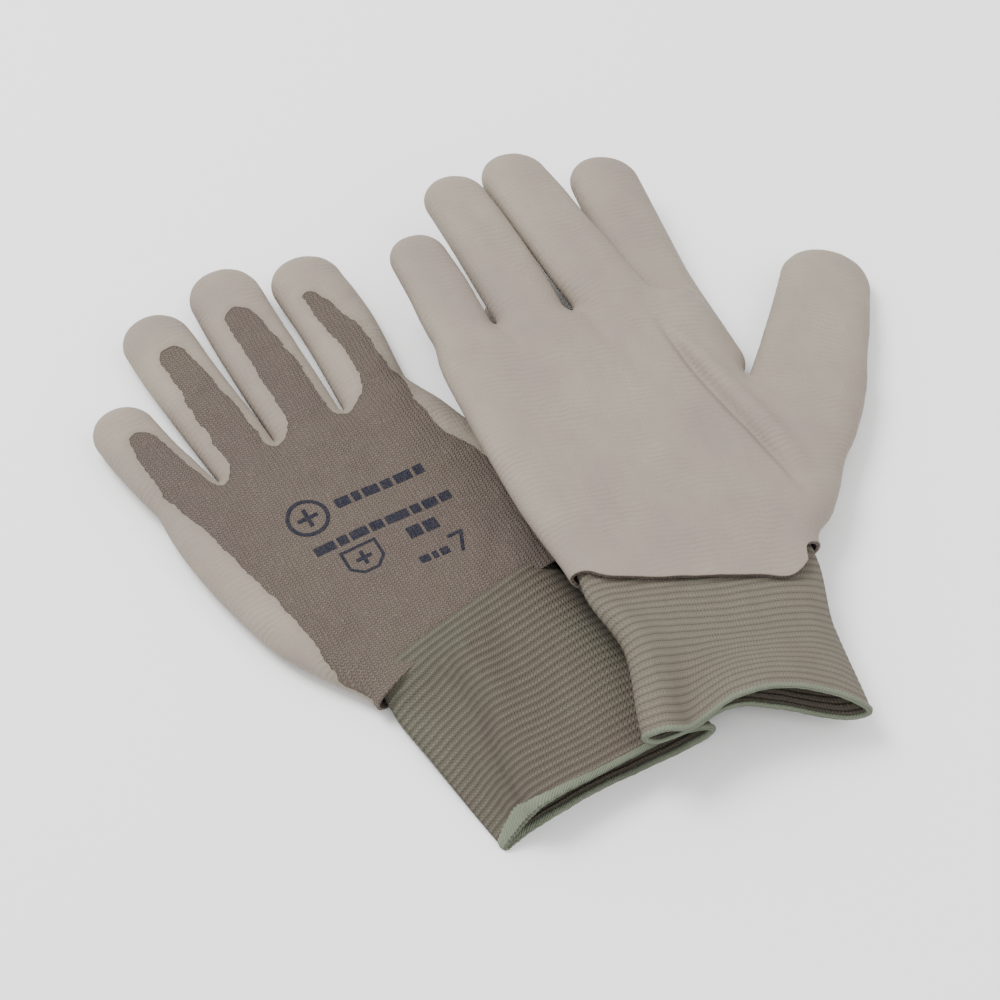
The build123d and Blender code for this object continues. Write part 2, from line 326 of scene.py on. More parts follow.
def contour(values: np.ndarray, origin: np.ndarray, step: float) -> tuple[np.ndarray, np.ndarray]:
    """Surface where sampled values change sign.

    Args:
        values: Samples on a regular grid, negative inside.
        origin: Place of the first sample.
        step: Distance between samples.

    Returns:
        Points and outward triangles. Each grid cell that the surface passes through gets one point, the
        mean of its edges' crossings, and each crossed edge joins the four cells round it.
    """
    inside = values < 0
    cells = tuple(n - 1 for n in values.shape)
    total, count = np.zeros(cells + (3,), np.float32), np.zeros(cells, np.float32)
    crossings = []
    for axis in range(3):
        u, v = (axis + 1) % 3, (axis + 2) % 3
        low = np.take(values, range(cells[axis]), axis)
        high = np.take(values, range(1, cells[axis] + 1), axis)
        crossed = (low < 0) != (high < 0)
        share = np.where(crossed, low / np.where(crossed, low - high, 1.0), 0.0).astype(np.float32)
        for du in (0, 1):
            for dv in (0, 1):
                window = [slice(None)] * 3
                window[u], window[v] = slice(du, cells[u] + du), slice(dv, cells[v] + dv)
                hit = crossed[tuple(window)]
                count += hit
                total[..., axis] += share[tuple(window)]
                total[..., u] += hit * du
                total[..., v] += hit * dv
        crossings.append(crossed)
    active = np.argwhere(count > 0)
    number = np.full(cells, -1, np.int64)
    number[tuple(active.T)] = np.arange(len(active))
    mean = total[tuple(active.T)] / count[tuple(active.T)][:, None]
    points = origin + (active + mean) * step
    faces = []
    for axis, crossed in enumerate(crossings):
        u, v = (axis + 1) % 3, (axis + 2) % 3
        edges = np.argwhere(crossed)
        side_u, side_v = edges[:, u], edges[:, v]
        edges = edges[(side_u > 0) & (side_u < cells[u]) & (side_v > 0) & (side_v < cells[v])]
        quad = []
        for du, dv in ((-1, -1), (0, -1), (0, 0), (-1, 0)):
            cell = edges.copy()
            cell[:, u] += du
            cell[:, v] += dv
            quad.append(number[tuple(cell.T)])
        quad = np.stack(quad, 1)
        outward = inside[tuple(edges.T)]
        quad = np.where(outward[:, None], quad, quad[:, ::-1])
        faces += [quad[:, [0, 1, 2]], quad[:, [0, 2, 3]]]
    return points, np.vstack(faces)


# ---------------------------------------------------------------- where a glove lies


@dataclass(frozen=True)
class Place:
    """Rigid place of a glove's frame in the pair's frame."""

    turn: np.ndarray
    origin: np.ndarray

    @staticmethod
    def of_glove(turn_deg: float, tilt_deg: float, local: np.ndarray, world: np.ndarray) -> "Place":
        """Place with a turn about Z after a tilt about Y, that takes a local point (mm) to the world (m)."""
        c, s = math.cos(math.radians(turn_deg)), math.sin(math.radians(turn_deg))
        ct, st = math.cos(math.radians(tilt_deg)), math.sin(math.radians(tilt_deg))
        turn = np.array([[c, -s, 0], [s, c, 0], [0, 0, 1]]) @ np.array([[ct, 0, st], [0, 1, 0], [-st, 0, ct]])
        return Place(turn, world - turn @ local * MM)

    def world(self, points: np.ndarray) -> np.ndarray:
        """Local points in millimetres as places in metres."""
        return points @ self.turn.T * MM + self.origin


# ---------------------------------------------------------------- the hand as a field


@dataclass(frozen=True)
class Limb:
    """Stall of a finger or the thumb: a tapered, round-ended strip along a smooth middle line.

    Attributes:
        root: Middle of its root and its lean towards the thumb, in degrees.
        length: From the root to the tip.
        stations: Along, across, half width and lift at points of the middle line, from the root's frame.
        knuckle: Where the tip's piece begins, or 0 for a stall in one piece.
    """

    root: tuple[float, float, float]
    length: float
    stations: tuple[tuple[float, float, float, float], ...]
    knuckle: float = 0.0

    def axes(self) -> tuple[np.ndarray, np.ndarray]:
        """Directions across and along the stall, in the plan."""
        lean = math.radians(self.root[2])
        return np.array([math.cos(lean), -math.sin(lean)]), np.array([math.sin(lean), math.cos(lean)])

    def local(self, x: np.ndarray, y: np.ndarray) -> tuple[np.ndarray, np.ndarray]:
        """Across and along coordinates of plan points."""
        across, along = self.axes()
        px, py = x - self.root[0], y - self.root[1]
        return px * across[0] + py * across[1], px * along[0] + py * along[1]

    def plan(self, x: np.ndarray, y: np.ndarray) -> tuple[np.ndarray, np.ndarray]:
        """Signed distance to the strip's outline, and the lift of the nearest point of its middle line."""
        across, along = self.local(x, y)
        line = through(np.array(self.stations), 6)
        best, lift = np.full(x.shape, 1e9), np.zeros(x.shape)
        for start, end in zip(line[:-1], line[1:]):
            ey, ex = end[:2] - start[:2]
            px, py = across - start[1], along - start[0]
            share = np.clip((px * ex + py * ey) / (ex * ex + ey * ey), 0.0, 1.0)
            away = np.hypot(px - share * ex, py - share * ey) - (start[2] + share * (end[2] - start[2]))
            nearer = away < best
            best = np.where(nearer, away, best)
            lift = np.where(nearer, start[3] + share * (end[3] - start[3]), lift)
        return best, lift


@dataclass(frozen=True)
class Crease:
    """Soft groove (or ridge, with a negative depth) along a line of the plan, on the side that faces up."""

    path: tuple[tuple[float, float], ...]
    depth: float
    width: float
    both_faces: bool = False

    def relief(self, x: np.ndarray, y: np.ndarray) -> np.ndarray:
        """Depth at plan points: greatest in the middle of the line, fading beside it and at its ends."""
        line = through(np.array(self.path), 8)
        total = len(line) - 1
        best, where = np.full(x.shape, 1e9), np.zeros(x.shape)
        for number, ((ax, ay), (bx, by)) in enumerate(zip(line[:-1], line[1:])):
            ex, ey = bx - ax, by - ay
            share = np.clip(((x - ax) * ex + (y - ay) * ey) / (ex * ex + ey * ey), 0.0, 1.0)
            away = np.hypot(x - ax - share * ex, y - ay - share * ey)
            nearer = away < best
            best = np.where(nearer, away, best)
            where = np.where(nearer, (number + share) / total, where)
        ends = np.sin(math.pi * np.clip(where, 0.02, 0.98)) ** 0.6
        return self.depth * np.exp(-((best / self.width) ** 2)) * ends


@dataclass(frozen=True)
class Hand:
    """Shape of one glove above its cuff."""

    side: Side
    outline: tuple[tuple[float, float], ...]
    limbs: dict[str, Limb]
    creases: tuple[Crease, ...]
    window: tuple[tuple[float, float], ...]
    tongues: dict[str, tuple[tuple[float, float, float, float], ...]]
    wrist_film: tuple[tuple[float, float], ...]
    wrist_knit: tuple[tuple[float, float], ...]
    seed: int
    half_height: float = 5.3
    edge: float = 9.0
    web: float = 0.8
    flow: float = 2.2

    def plans(self, x: np.ndarray, y: np.ndarray) -> dict:
        """Everything about the shape that depends on the plan only."""
        loop = through(np.array(self.outline), 5, closed=True)
        plans = {"palm": polygon_distance(loop, x, y)}
        for name, limb in self.limbs.items():
            plans[name], plans["lift_" + name] = limb.plan(x, y)
            plans["along_" + name] = limb.local(x, y)[1]
        up = 0.34 * ripple(x, y, 34.0, self.seed) + 0.16 * ripple(x, y, 13.0, self.seed + 1)
        up = up + 0.05 * ripple(x, y, 5.0, self.seed + 2)
        down = 0.3 * ripple(x, y, 30.0, self.seed + 3)
        for crease in self.creases:
            relief = crease.relief(x, y)
            up = up - relief
            if crease.both_faces:
                down = down - relief
        plans["up"], plans["down"] = up, down
        return plans

    def pillow(self, plan: np.ndarray, z: np.ndarray, edge: float, height: float) -> np.ndarray:
        """Field of a flat cushion: its section's edge is half an ellipse as deep as the edge value."""
        return (np.hypot(np.maximum(plan + edge, 0.0) / edge, z / height) - 1.0) * height

    def combine(self, plans: dict, z: np.ndarray, owner: str | None = None) -> np.ndarray:
        """Field of the whole hand, or of one stall with the first millimetres of what lies beside it.

        Args:
            plans: Result of plans() for the same points.
            z: Heights above the middle plane.
            owner: Stall to build, or None for the hand.

        Returns:
            Values that are negative inside. Beyond the owner's root its neighbours recede, so the stall
            closes on itself there.
        """
        recede = 0.0
        if owner:
            recede = np.maximum(plans["along_" + owner] - 1.5, 0.0) * 0.8
        total = self.pillow(plans["palm"], z, self.edge, self.half_height)
        if owner == "thumb":
            total = total + recede
        stalls = None
        for name, limb in self.limbs.items():
            half = limb.stations[-1][2]
            edge = min(self.edge, half * 0.92)
            one = self.pillow(plans[name], z - plans["lift_" + name], edge, self.half_height * 0.97)
            if owner and name != owner:
                one = one + recede
            stalls = one if stalls is None else smooth_min(stalls, one, self.web)
        total = smooth_min(total, stalls, self.flow)
        weight = np.clip(z / self.half_height, -1.0, 1.0)
        relief = np.where(weight > 0, plans["up"] * weight, -plans["down"] * weight)
        return total - relief

    def cuts(self, plans: dict) -> dict[str, np.ndarray]:
        """For each stall, a value that is positive on its side of the cuts."""
        cuts = {}
        for name in self.limbs:
            others = [plans[other] for other in self.limbs if other != name]
            if name == "thumb":
                others.append(plans["palm"])
            nearest = np.minimum.reduce(others)
            cuts[name] = np.minimum(plans["along_" + name], nearest - plans[name])
        return cuts

    def stall_cut(self, plans: dict, owner: str) -> np.ndarray:
        """Like cuts() for one stall, with its neighbours receding as they do in its field."""
        recede = np.maximum(plans["along_" + owner] - 1.5, 0.0) * 0.8
        others = [plans[other] for other in self.limbs if other != owner]
        if owner == "thumb":
            others.append(plans["palm"])
        return np.minimum(plans["along_" + owner], np.minimum.reduce(others) + recede - plans[owner])

    def line(self, points: tuple[tuple[float, float], ...], x: np.ndarray) -> np.ndarray:
        """Height of a line through points across the wrist."""
        samples = through(np.array(points), 8)
        return np.interp(x, samples[:, 0], samples[:, 1])

    def film(self, points: np.ndarray) -> np.ndarray:
        """Value that is positive where the film covers the knit, about its distance from the film's edge."""
        x, y, z = points.T
        loop = through(np.array(self.window), 5, closed=True)
        bare = polygon_distance(loop, x, y)
        for name, stations in self.tongues.items():
            limb = replace(self.limbs[name], stations=stations)
            bare = smooth_min(bare, limb.plan(x, y)[0], 2.0)
        across = self.limbs["middle"].local(x, y)[0]
        saw = np.abs(((y + 0.35 * across) / STITCH_ROW) % 1.0 - 0.5) * 2.0
        bare = bare + 0.4 * (saw - 0.5) + 0.22 * ripple(x, y, 4.0, self.seed + 5)
        bare = bare + 0.4 * ripple(x, y, 12.0, self.seed + 6)
        covered = np.maximum(bare, z * self.side.value * 1.5)
        end = self.line(self.wrist_film, x) + 0.5 * np.abs((x / 1.6) % 1.0 - 0.5)
        return np.minimum(covered, y - end)

    def knit_end(self, points: np.ndarray) -> np.ndarray:
        """Value that is positive above the wrist's end of the knit."""
        return points[:, 1] - self.line(self.wrist_knit, points[:, 0])

    def surface(self, step: float, owner: str | None = None) -> Surface:
        """Outer face of the hand or of one stall, not yet cut.

        Args:
            step: Distance between the points.
            owner: Stall to build, or None for the hand.

        Returns:
            The surface: the contour of the field on a grid, then two steps along the field's slope so that
            each point lies on it, and the slope itself as the normal.
        """
        loop = np.array(self.outline)
        if owner:
            limb = self.limbs[owner]
            across, along = limb.axes()
            spots = np.array([
                np.array(limb.root[:2]) + along * a + across * s
                for a, s in ((-4.0, -24.0), (-4.0, 24.0), (limb.length + 4, -17.0), (limb.length + 4, 17.0))
            ])
        else:
            roots = np.array([limb.root[:2] for limb in self.limbs.values()])
            spots = np.vstack([loop, roots + [12.0, 12.0], roots - [12.0, 0.0], [[-70, -34], [78, -34]]])
        low, high = spots.min(0) - 2 * step, spots.max(0) + 2 * step
        lift = 8.0
        xs, ys = np.arange(low[0], high[0], step), np.arange(low[1], high[1], step)
        zs = np.arange(-self.half_height - lift, self.half_height + lift, step)
        grid_x, grid_y = np.meshgrid(xs, ys, indexing="ij")
        plans = {key: value[:, :, None] for key, value in self.plans(grid_x, grid_y).items()}
        values = self.combine(plans, zs[None, None, :], owner)
        points, triangles = contour(values, np.array([xs[0], ys[0], zs[0]]), step)
        for _ in range(2):
            value, slope = self.slope(points, owner)
            share = np.clip(value / np.maximum((slope**2).sum(1), 0.05), -step, step)
            points = points - share[:, None] * slope
        _, slope = self.slope(points, owner, 0.35)
        normals = slope / np.maximum(np.linalg.norm(slope, axis=1, keepdims=True), 1e-9)
        return Surface(points, normals, points[:, :2].copy(), triangles)

    def slope(
        self, points: np.ndarray, owner: str | None, reach: float = 0.1
    ) -> tuple[np.ndarray, np.ndarray]:
        """Field and its slope at points, from the difference of values on both sides."""
        x, y, z = points.T
        here = self.plans(x, y)
        value = self.combine(here, z, owner)
        slope_z = self.combine(here, z + reach, owner) - self.combine(here, z - reach, owner)
        slopes = []
        for dx, dy in ((reach, 0.0), (0.0, reach)):
            ahead = self.combine(self.plans(x + dx, y + dy), z, owner)
            behind = self.combine(self.plans(x - dx, y - dy), z, owner)
            slopes.append(ahead - behind)
        return value, np.stack([*slopes, slope_z], 1) / (2 * reach)


# ---------------------------------------------------------------- the cuff


@dataclass(frozen=True)
class Cuff:
    """Ribbed tube below the hand.

    Attributes:
        sections: Closed sections at rising shares of the length; each is a row of (across, height).
        shares: Share of the length at each section.
        start: Middle of its first ring in the glove's plan, and that ring's lean in degrees.
        end: The same for its mouth.
        sag: How much further than its ring each control point of the mouth hangs, in millimetres.
        turns: Elastic yarns laid in the wall.
        hem: Height of the binding at each control point of the mouth.
    """

    sections: tuple[tuple[tuple[float, float], ...], ...]
    shares: tuple[float, ...]
    start: tuple[float, float, float]
    end: tuple[float, float, float]
    sag: tuple[float, ...]
    hem: tuple[float, ...]
    seed: int
    wall: float = 1.25
    rib: float = 2.45
    rib_depth: float = 0.5
    turns: int = 11
    per_span: int = 18
    drop: float = 0.0

    @property
    def length(self) -> float:
        """Length along the middle line."""
        return math.dist(self.start[:2], self.end[:2])

    def ring(self, share: np.ndarray) -> np.ndarray:
        """Sections at given shares, not yet laid along the cuff: shares x points x (across, height)."""
        key = np.array([through(np.array(section), self.per_span, closed=True) for section in self.sections])
        share = np.clip(share, 0.0, 1.0)
        index = np.clip(np.searchsorted(self.shares, share, side="right") - 1, 0, len(self.shares) - 2)
        low, high = np.array(self.shares)[index], np.array(self.shares)[index + 1]
        mix = smooth_step((share - low) / (high - low), 0.0, 1.0)[:, None, None]
        return key[index] * (1 - mix) + key[index + 1] * mix

    def lay(self, share: np.ndarray, inward: float | np.ndarray) -> tuple[np.ndarray, np.ndarray]:
        """Points of the wall.

        Args:
            share: Shares of the length, one for each ring.
            inward: Depth below the smooth outer face, for each ring or one for all.

        Returns:
            Places (rings x points x 3) and outward directions in the section's plane.
        """
        section = self.ring(share)
        ahead = np.roll(section, -1, axis=1) - np.roll(section, 1, axis=1)
        outward = np.stack([ahead[..., 1], -ahead[..., 0]], -1)
        outward /= np.maximum(np.linalg.norm(outward, axis=-1, keepdims=True), 1e-6)
        inward = np.asarray(inward, float)
        if inward.ndim == 1:
            inward = inward[:, None]
        section = section - outward * np.broadcast_to(inward, section.shape[:2])[..., None]
        lean = np.radians(self.start[2] + (self.end[2] - self.start[2]) * share)[:, None]
        number = section.shape[1]
        sag = through(np.array(self.sag)[:, None], self.per_span, closed=True)[:, 0]
        past = smooth_step(share, 0.45, 1.0)[:, None] * sag[None, :]
        around = np.arange(number)[None, :] / number * math.tau
        rows = share[:, None] * self.length
        waver = 0.3 * np.sin(3 * around + rows * 0.05 + self.seed) + 0.12 * np.sin(7 * around - rows * 0.08)
        waver = waver + 0.05 * np.sin(17 * around + rows * 0.21)
        back = -past + waver * smooth_step(share, 0.02, 0.15)[:, None]
        first, last = np.array(self.start[:2]), np.array(self.end[:2])
        centre = first + share[:, None] * (last - first)
        c, s = np.cos(lean), np.sin(lean)
        x = centre[:, :1] + section[..., 0] * c - back * s
        y = centre[:, 1:] + section[..., 0] * s + back * c
        z = section[..., 1] + self.drop * share[:, None]
        direction = np.stack([outward[..., 0] * c, outward[..., 0] * s, outward[..., 1]], -1)
        return np.stack([x, y, z], -1), direction

    def relief(self, share: np.ndarray) -> np.ndarray:
        """Depth below the ribs' crests: each rib is a rounded pillow between two narrow grooves."""
        place = (share * self.length / self.rib) % 1.0
        return self.rib_depth * np.abs(2 * place - 1) ** 2.6

    def grid(self, share: np.ndarray, inward: np.ndarray | float, flip: bool = False) -> Surface:
        """Surface of the wall between the first and last of some shares, at a depth."""
        points, _ = self.lay(share, inward)
        return grid_surface(points, share * self.length, flip)


def grid_surface(points: np.ndarray, rows: np.ndarray, flip: bool = False) -> Surface:
    """Surface on a grid that closes round its second direction.

    Args:
        points: Rings x points x 3, each ring running clockwise as seen along the rings.
        rows: Cloth coordinate of each ring.
        flip: True to turn the outward side round.

    Returns:
        The surface, its normals taken from its neighbouring points, and cloth coordinates that follow
        the length round the ring.
    """
    rings, number = points.shape[:2]
    around = np.roll(points, -1, axis=1) - np.roll(points, 1, axis=1)
    along = np.gradient(points, axis=0)
    normals = np.cross(along, around)
    normals /= np.maximum(np.linalg.norm(normals, axis=-1, keepdims=True), 1e-9)
    index = np.arange(rings * number).reshape(rings, number)
    a, b = index[:-1], np.roll(index, -1, axis=1)[:-1]
    c, d = np.roll(index, -1, axis=1)[1:], index[1:]
    triangles = np.vstack([np.stack([a, d, c], -1).reshape(-1, 3), np.stack([a, c, b], -1).reshape(-1, 3)])
    steps = np.linalg.norm(np.diff(points[0], axis=0, append=points[0][:1]), axis=1)
    length = np.concatenate([[0.0], np.cumsum(steps)[:-1]])
    cloth = np.stack(np.broadcast_arrays(length[None, :], rows[:, None]), -1).reshape(-1, 2)
    if flip:
        normals, triangles = -normals, triangles[:, ::-1]
    return Surface(points.reshape(-1, 3), normals.reshape(-1, 3), cloth, triangles, np.zeros(rings * number))


def merged(parts: list[Surface]) -> Surface:
    """Several surfaces as one."""
    starts = np.cumsum([0] + [len(part.points) for part in parts[:-1]])
    columns = np.vstack([part.columns() for part in parts])
    return Surface.from_columns(columns, np.vstack([p.triangles + s for p, s in zip(parts, starts)]))


def solid_object(name: str, surface: Surface, place: Place) -> bpy.types.Object:
    """Object from a surface that is already closed."""
    return mesh_object(
        name, place.world(surface.points), surface.triangles,
        surface.normals[surface.triangles.ravel()] @ place.turn.T, surface.cloth,
        surface.rim if surface.rim is not None else np.zeros(len(surface.points)),
    )


# ---------------------------------------------------------------- finishes


class Graph:
    """Short way to add and join the nodes of one node tree."""

    def __init__(self, tree: bpy.types.NodeTree) -> None:
        self.tree = tree

    def node(self, kind: str, **settings: object) -> bpy.types.Node:
        """New node of a kind, with its own settings."""
        node = self.tree.nodes.new("ShaderNode" + kind)
        for key, value in settings.items():
            setattr(node, key, value)
        return node

    def join(self, value: object, socket: bpy.types.NodeSocket) -> None:
        """Put a number, a colour or another node's output into a socket."""
        if isinstance(value, bpy.types.NodeSocket):
            self.tree.links.new(value, socket)
        elif value is not None:
            socket.default_value = value

    def math(self, operation: str, a: object, b: object = None, clamp: bool = False) -> bpy.types.NodeSocket:
        """Result of a maths node."""
        node = self.node("Math", operation=operation, use_clamp=clamp)
        self.join(a, node.inputs[0])
        self.join(b, node.inputs[1])
        return node.outputs[0]

    def mix(self, share: object, a: object, b: object) -> bpy.types.NodeSocket:
        """Colour between two colours."""
        node = self.node("Mix", data_type="RGBA")
        self.join(share, node.inputs[0])
        self.join(a, node.inputs[6])
        self.join(b, node.inputs[7])
        return node.outputs[2]

    def ramp(self, value: object, low: float, high: float) -> bpy.types.NodeSocket:
        """Value stretched so that low becomes 0 and high becomes 1, held between them."""
        node = self.node("MapRange")
        self.join(value, node.inputs[0])
        node.inputs[1].default_value, node.inputs[2].default_value = low, high
        return node.outputs[0]

    def noise(
        self, place: object, scale: float, detail: float = 3.0, rough: float = 0.5
    ) -> bpy.types.NodeSocket:
        """Soft random value at a place."""
        node = self.node("TexNoise")
        self.join(place, node.inputs["Vector"])
        node.inputs["Scale"].default_value = scale
        node.inputs["Detail"].default_value = detail
        node.inputs["Roughness"].default_value = rough
        return node.outputs["Fac"]


def srgb(red: float, green: float, blue: float) -> tuple[float, float, float, float]:
    """Linear colour from display values out of 255."""
    values = [value / 255 for value in (red, green, blue)]
    return tuple(v / 12.92 if v <= 0.04045 else ((v + 0.055) / 1.055) ** 2.4 for v in values) + (1.0,)


def group(
    name: str, outputs: tuple[tuple[str, str], ...], inputs: tuple[tuple[str, float], ...]
) -> bpy.types.NodeTree:
    """Empty node group with its sockets."""
    tree = bpy.data.node_groups.new(name, "ShaderNodeTree")
    for label, value in inputs:
        tree.interface.new_socket(label, in_out="INPUT", socket_type="NodeSocketFloat").default_value = value
    for label, kind in outputs:
        tree.interface.new_socket(label, in_out="OUTPUT", socket_type=kind)
    return tree


def stitch_group() -> bpy.types.NodeTree:
    """Plain knitting: height of slanted loops in columns (wales) and rows (courses) of the cloth.

    Returns:
        A group with the wale and course spacing in millimetres as inputs. The height is the product of two
        rounded waves; the second is shifted by the distance from the wale's middle, which slants the loops.
    """
    tree = group("stitches", (("Height", "NodeSocketFloat"),), (("Wale", 1.25), ("Course", 0.95)))
    graph = Graph(tree)
    entry, out = tree.nodes.new("NodeGroupInput"), tree.nodes.new("NodeGroupOutput")
    cloth = graph.node("UVMap", uv_map=Glaze.CLOTH.value)
    split = graph.node("SeparateXYZ")
    graph.join(cloth.outputs[0], split.inputs[0])
    drift = graph.noise(cloth.outputs[0], 0.12, 2.0)
    across = graph.math("ADD", split.outputs[0], graph.math("MULTIPLY", drift, 2.2))
    column = graph.math("DIVIDE", across, entry.outputs[0])
    bend = graph.math("PINGPONG", column, 0.5)
    straight = graph.math("DIVIDE", split.outputs[1], entry.outputs[1])
    row = graph.math("ADD", straight, graph.math("MULTIPLY", bend, 1.3))
    wave_u = graph.math("ABSOLUTE", graph.math("SINE", graph.math("MULTIPLY", column, math.pi)))
    wave_v = graph.math("ABSOLUTE", graph.math("SINE", graph.math("MULTIPLY", row, math.pi)))
    height = graph.math("MULTIPLY", graph.math("POWER", wave_u, 0.6), graph.math("POWER", wave_v, 0.7))
    graph.join(height, out.inputs[0])
    return tree


def mottle_group() -> bpy.types.NodeTree:
    """Uneven dye and handling: a wide and a fine random value of the object's place."""
    tree = group("mottle", (("Wide", "NodeSocketFloat"), ("Fine", "NodeSocketFloat")), (("Grain", 900.0),))
    graph = Graph(tree)
    entry, out = tree.nodes.new("NodeGroupInput"), tree.nodes.new("NodeGroupOutput")
    place = graph.node("TexCoord").outputs["Object"]
    wide = graph.ramp(graph.noise(place, 26.0, 4.0, 0.6), 0.32, 0.68)
    fine = graph.node("TexNoise")
    graph.join(place, fine.inputs["Vector"])
    graph.join(entry.outputs[0], fine.inputs["Scale"])
    graph.join(wide, out.inputs[0])
    graph.join(fine.outputs["Fac"], out.inputs[1])
    return tree


@dataclass(frozen=True)
class Groups:
    """Node groups that the finishes share."""

    stitches: bpy.types.NodeTree
    mottle: bpy.types.NodeTree


@dataclass(frozen=True)
class Finish:
    """Base of the finishes: colours, roughness and the strength of the relief."""

    name: str
    base: tuple[float, float, float, float]
    second: tuple[float, float, float, float]
    roughness: float
    bump: float

    def build(self, groups: Groups) -> bpy.types.Material:
        """Material with its nodes."""
        material = bpy.data.materials.new(self.name)
        material.use_nodes = True
        graph = Graph(material.node_tree)
        shader = material.node_tree.nodes["Principled BSDF"]
        colour, height, roughness = self.nodes(graph, groups)
        graph.join(colour, shader.inputs["Base Color"])
        graph.join(roughness, shader.inputs["Roughness"])
        shader.inputs["Specular IOR Level"].default_value = 0.25
        bump = graph.node("Bump")
        bump.inputs["Strength"].default_value = self.bump
        bump.inputs["Distance"].default_value = 0.0004
        graph.join(height, bump.inputs["Height"])
        graph.join(bump.outputs[0], shader.inputs["Normal"])
        return material

    def used(self, graph: Graph, tree: bpy.types.NodeTree, **values: float) -> bpy.types.Node:
        """Instance of a shared group, with its inputs set."""
        node = graph.node("Group", node_tree=tree)
        for key, value in values.items():
            node.inputs[key].default_value = value
        return node

    def nodes(self, graph: Graph, groups: Groups) -> tuple[object, object, object]:
        """Colour, height and roughness of the finish."""
        raise NotImplementedError


@dataclass(frozen=True)
class Knit(Finish):
    """Fine knitted yarn: loops with painted shade between them, unevenly dyed, with fluff."""

    wale: float = 1.3
    course: float = 1.0

    def nodes(self, graph: Graph, groups: Groups) -> tuple[object, object, object]:
        """Colour, height and roughness of the knit."""
        stitches = self.used(graph, groups.stitches, Wale=self.wale, Course=self.course)
        mottle = self.used(graph, groups.mottle, Grain=1500.0)
        loops = graph.ramp(stitches.outputs[0], 0.0, 0.75)
        colour = graph.mix(graph.math("MULTIPLY", mottle.outputs["Wide"], 0.75), self.base, self.second)
        # Painted shade: between the loops, where the stitch height is low, the colour is mixed towards dark
        # brown.
        gap = graph.math("MULTIPLY_ADD", loops, 0.42)
        gap.node.inputs[2].default_value = 0.58
        dark = graph.mix(gap, srgb(52, 46, 42), colour)
        fluff = graph.ramp(mottle.outputs["Fine"], 0.55, 0.8)
        colour = graph.mix(graph.math("MULTIPLY", fluff, 0.35), dark, srgb(140, 130, 120))
        height = graph.math("ADD", stitches.outputs[0], graph.math("MULTIPLY", mottle.outputs["Fine"], 0.5))
        return colour, height, self.roughness


@dataclass(frozen=True)
class Film(Finish):
    """Matte dipped film: faint rows of the knit below, pores and painted shade along its edge."""

    def nodes(self, graph: Graph, groups: Groups) -> tuple[object, object, object]:
        """Colour, height and roughness of the film."""
        mottle = self.used(graph, groups.mottle, Grain=1100.0)
        stitches = self.used(graph, groups.stitches, Wale=1.3, Course=1.0)
        cloth = graph.node("UVMap", uv_map=Glaze.CLOTH.value)
        split = graph.node("SeparateXYZ")
        graph.join(cloth.outputs[0], split.inputs[0])
        drift = graph.math("MULTIPLY", graph.noise(cloth.outputs[0], 0.1, 3.0), 5.0)
        rows = graph.math("SINE", graph.math("MULTIPLY", graph.math("ADD", split.outputs[1], drift), 3.4))
        patch = graph.ramp(graph.noise(cloth.outputs[0], 0.055, 3.0), 0.4, 0.66)
        rows = graph.math("MULTIPLY", rows, graph.math("MULTIPLY", patch, 0.45))
        colour = graph.mix(graph.math("MULTIPLY", mottle.outputs["Wide"], 0.8), self.base, self.second)
        shade = graph.math("MULTIPLY", graph.math("ADD", rows, 0.25), 0.34)
        colour = graph.mix(shade, colour, srgb(112, 103, 93))
        # Painted shade: the film's colour darkens within about 2 mm of its edge.
        rim = graph.node("Attribute", attribute_name=Glaze.RIM.value)
        edge = graph.ramp(rim.outputs["Fac"], 2.2, 0.2)
        colour = graph.mix(graph.math("MULTIPLY", edge, 0.4), colour, srgb(112, 106, 92))
        pores = graph.math("MULTIPLY", graph.ramp(mottle.outputs["Fine"], 0.3, 0.7), 0.35)
        knit = graph.math("MULTIPLY", stitches.outputs[0], 0.3)
        height = graph.math("ADD", knit, graph.math("ADD", pores, rows))
        rough = graph.math("MULTIPLY_ADD", mottle.outputs["Wide"], 0.12)
        rough.node.inputs[2].default_value = self.roughness
        return colour, height, rough


@dataclass(frozen=True)
class Ribbing(Finish):
    """Elastic rib knit: loops along each rib, two tones of yarn, painted shade in the grooves and between the
    loops.
    """

    pitch: float = 2.45

    def nodes(self, graph: Graph, groups: Groups) -> tuple[object, object, object]:
        """Colour, height and roughness of the ribs."""
        mottle = self.used(graph, groups.mottle, Grain=1500.0)
        stitches = self.used(graph, groups.stitches, Wale=0.95, Course=self.pitch / 2)
        cloth = graph.node("UVMap", uv_map=Glaze.CLOTH.value)
        split = graph.node("SeparateXYZ")
        graph.join(cloth.outputs[0], split.inputs[0])
        rib = graph.math("PINGPONG", graph.math("DIVIDE", split.outputs[1], self.pitch), 0.5)
        groove = graph.ramp(rib, 0.13, 0.0)
        tone = graph.math("MULTIPLY", mottle.outputs["Wide"], 0.9)
        colour = graph.mix(tone, self.base, self.second)
        crest = graph.math("MULTIPLY", graph.ramp(rib, 0.2, 0.5), 0.3)
        colour = graph.mix(crest, colour, srgb(122, 122, 108))
        # Painted shade: the grooves between the ribs get a dark colour.
        colour = graph.mix(graph.math("MULTIPLY", groove, 0.62), colour, srgb(58, 55, 47))
        # Painted shade: darker between the loops, where the stitch height is low.
        loops = graph.math("MULTIPLY", graph.ramp(stitches.outputs[0], 0.5, 0.0), 0.4)
        colour = graph.mix(loops, colour, srgb(70, 64, 56))
        height = graph.math("ADD", stitches.outputs[0], graph.math("MULTIPLY", mottle.outputs["Fine"], 0.5))
        return colour, height, self.roughness


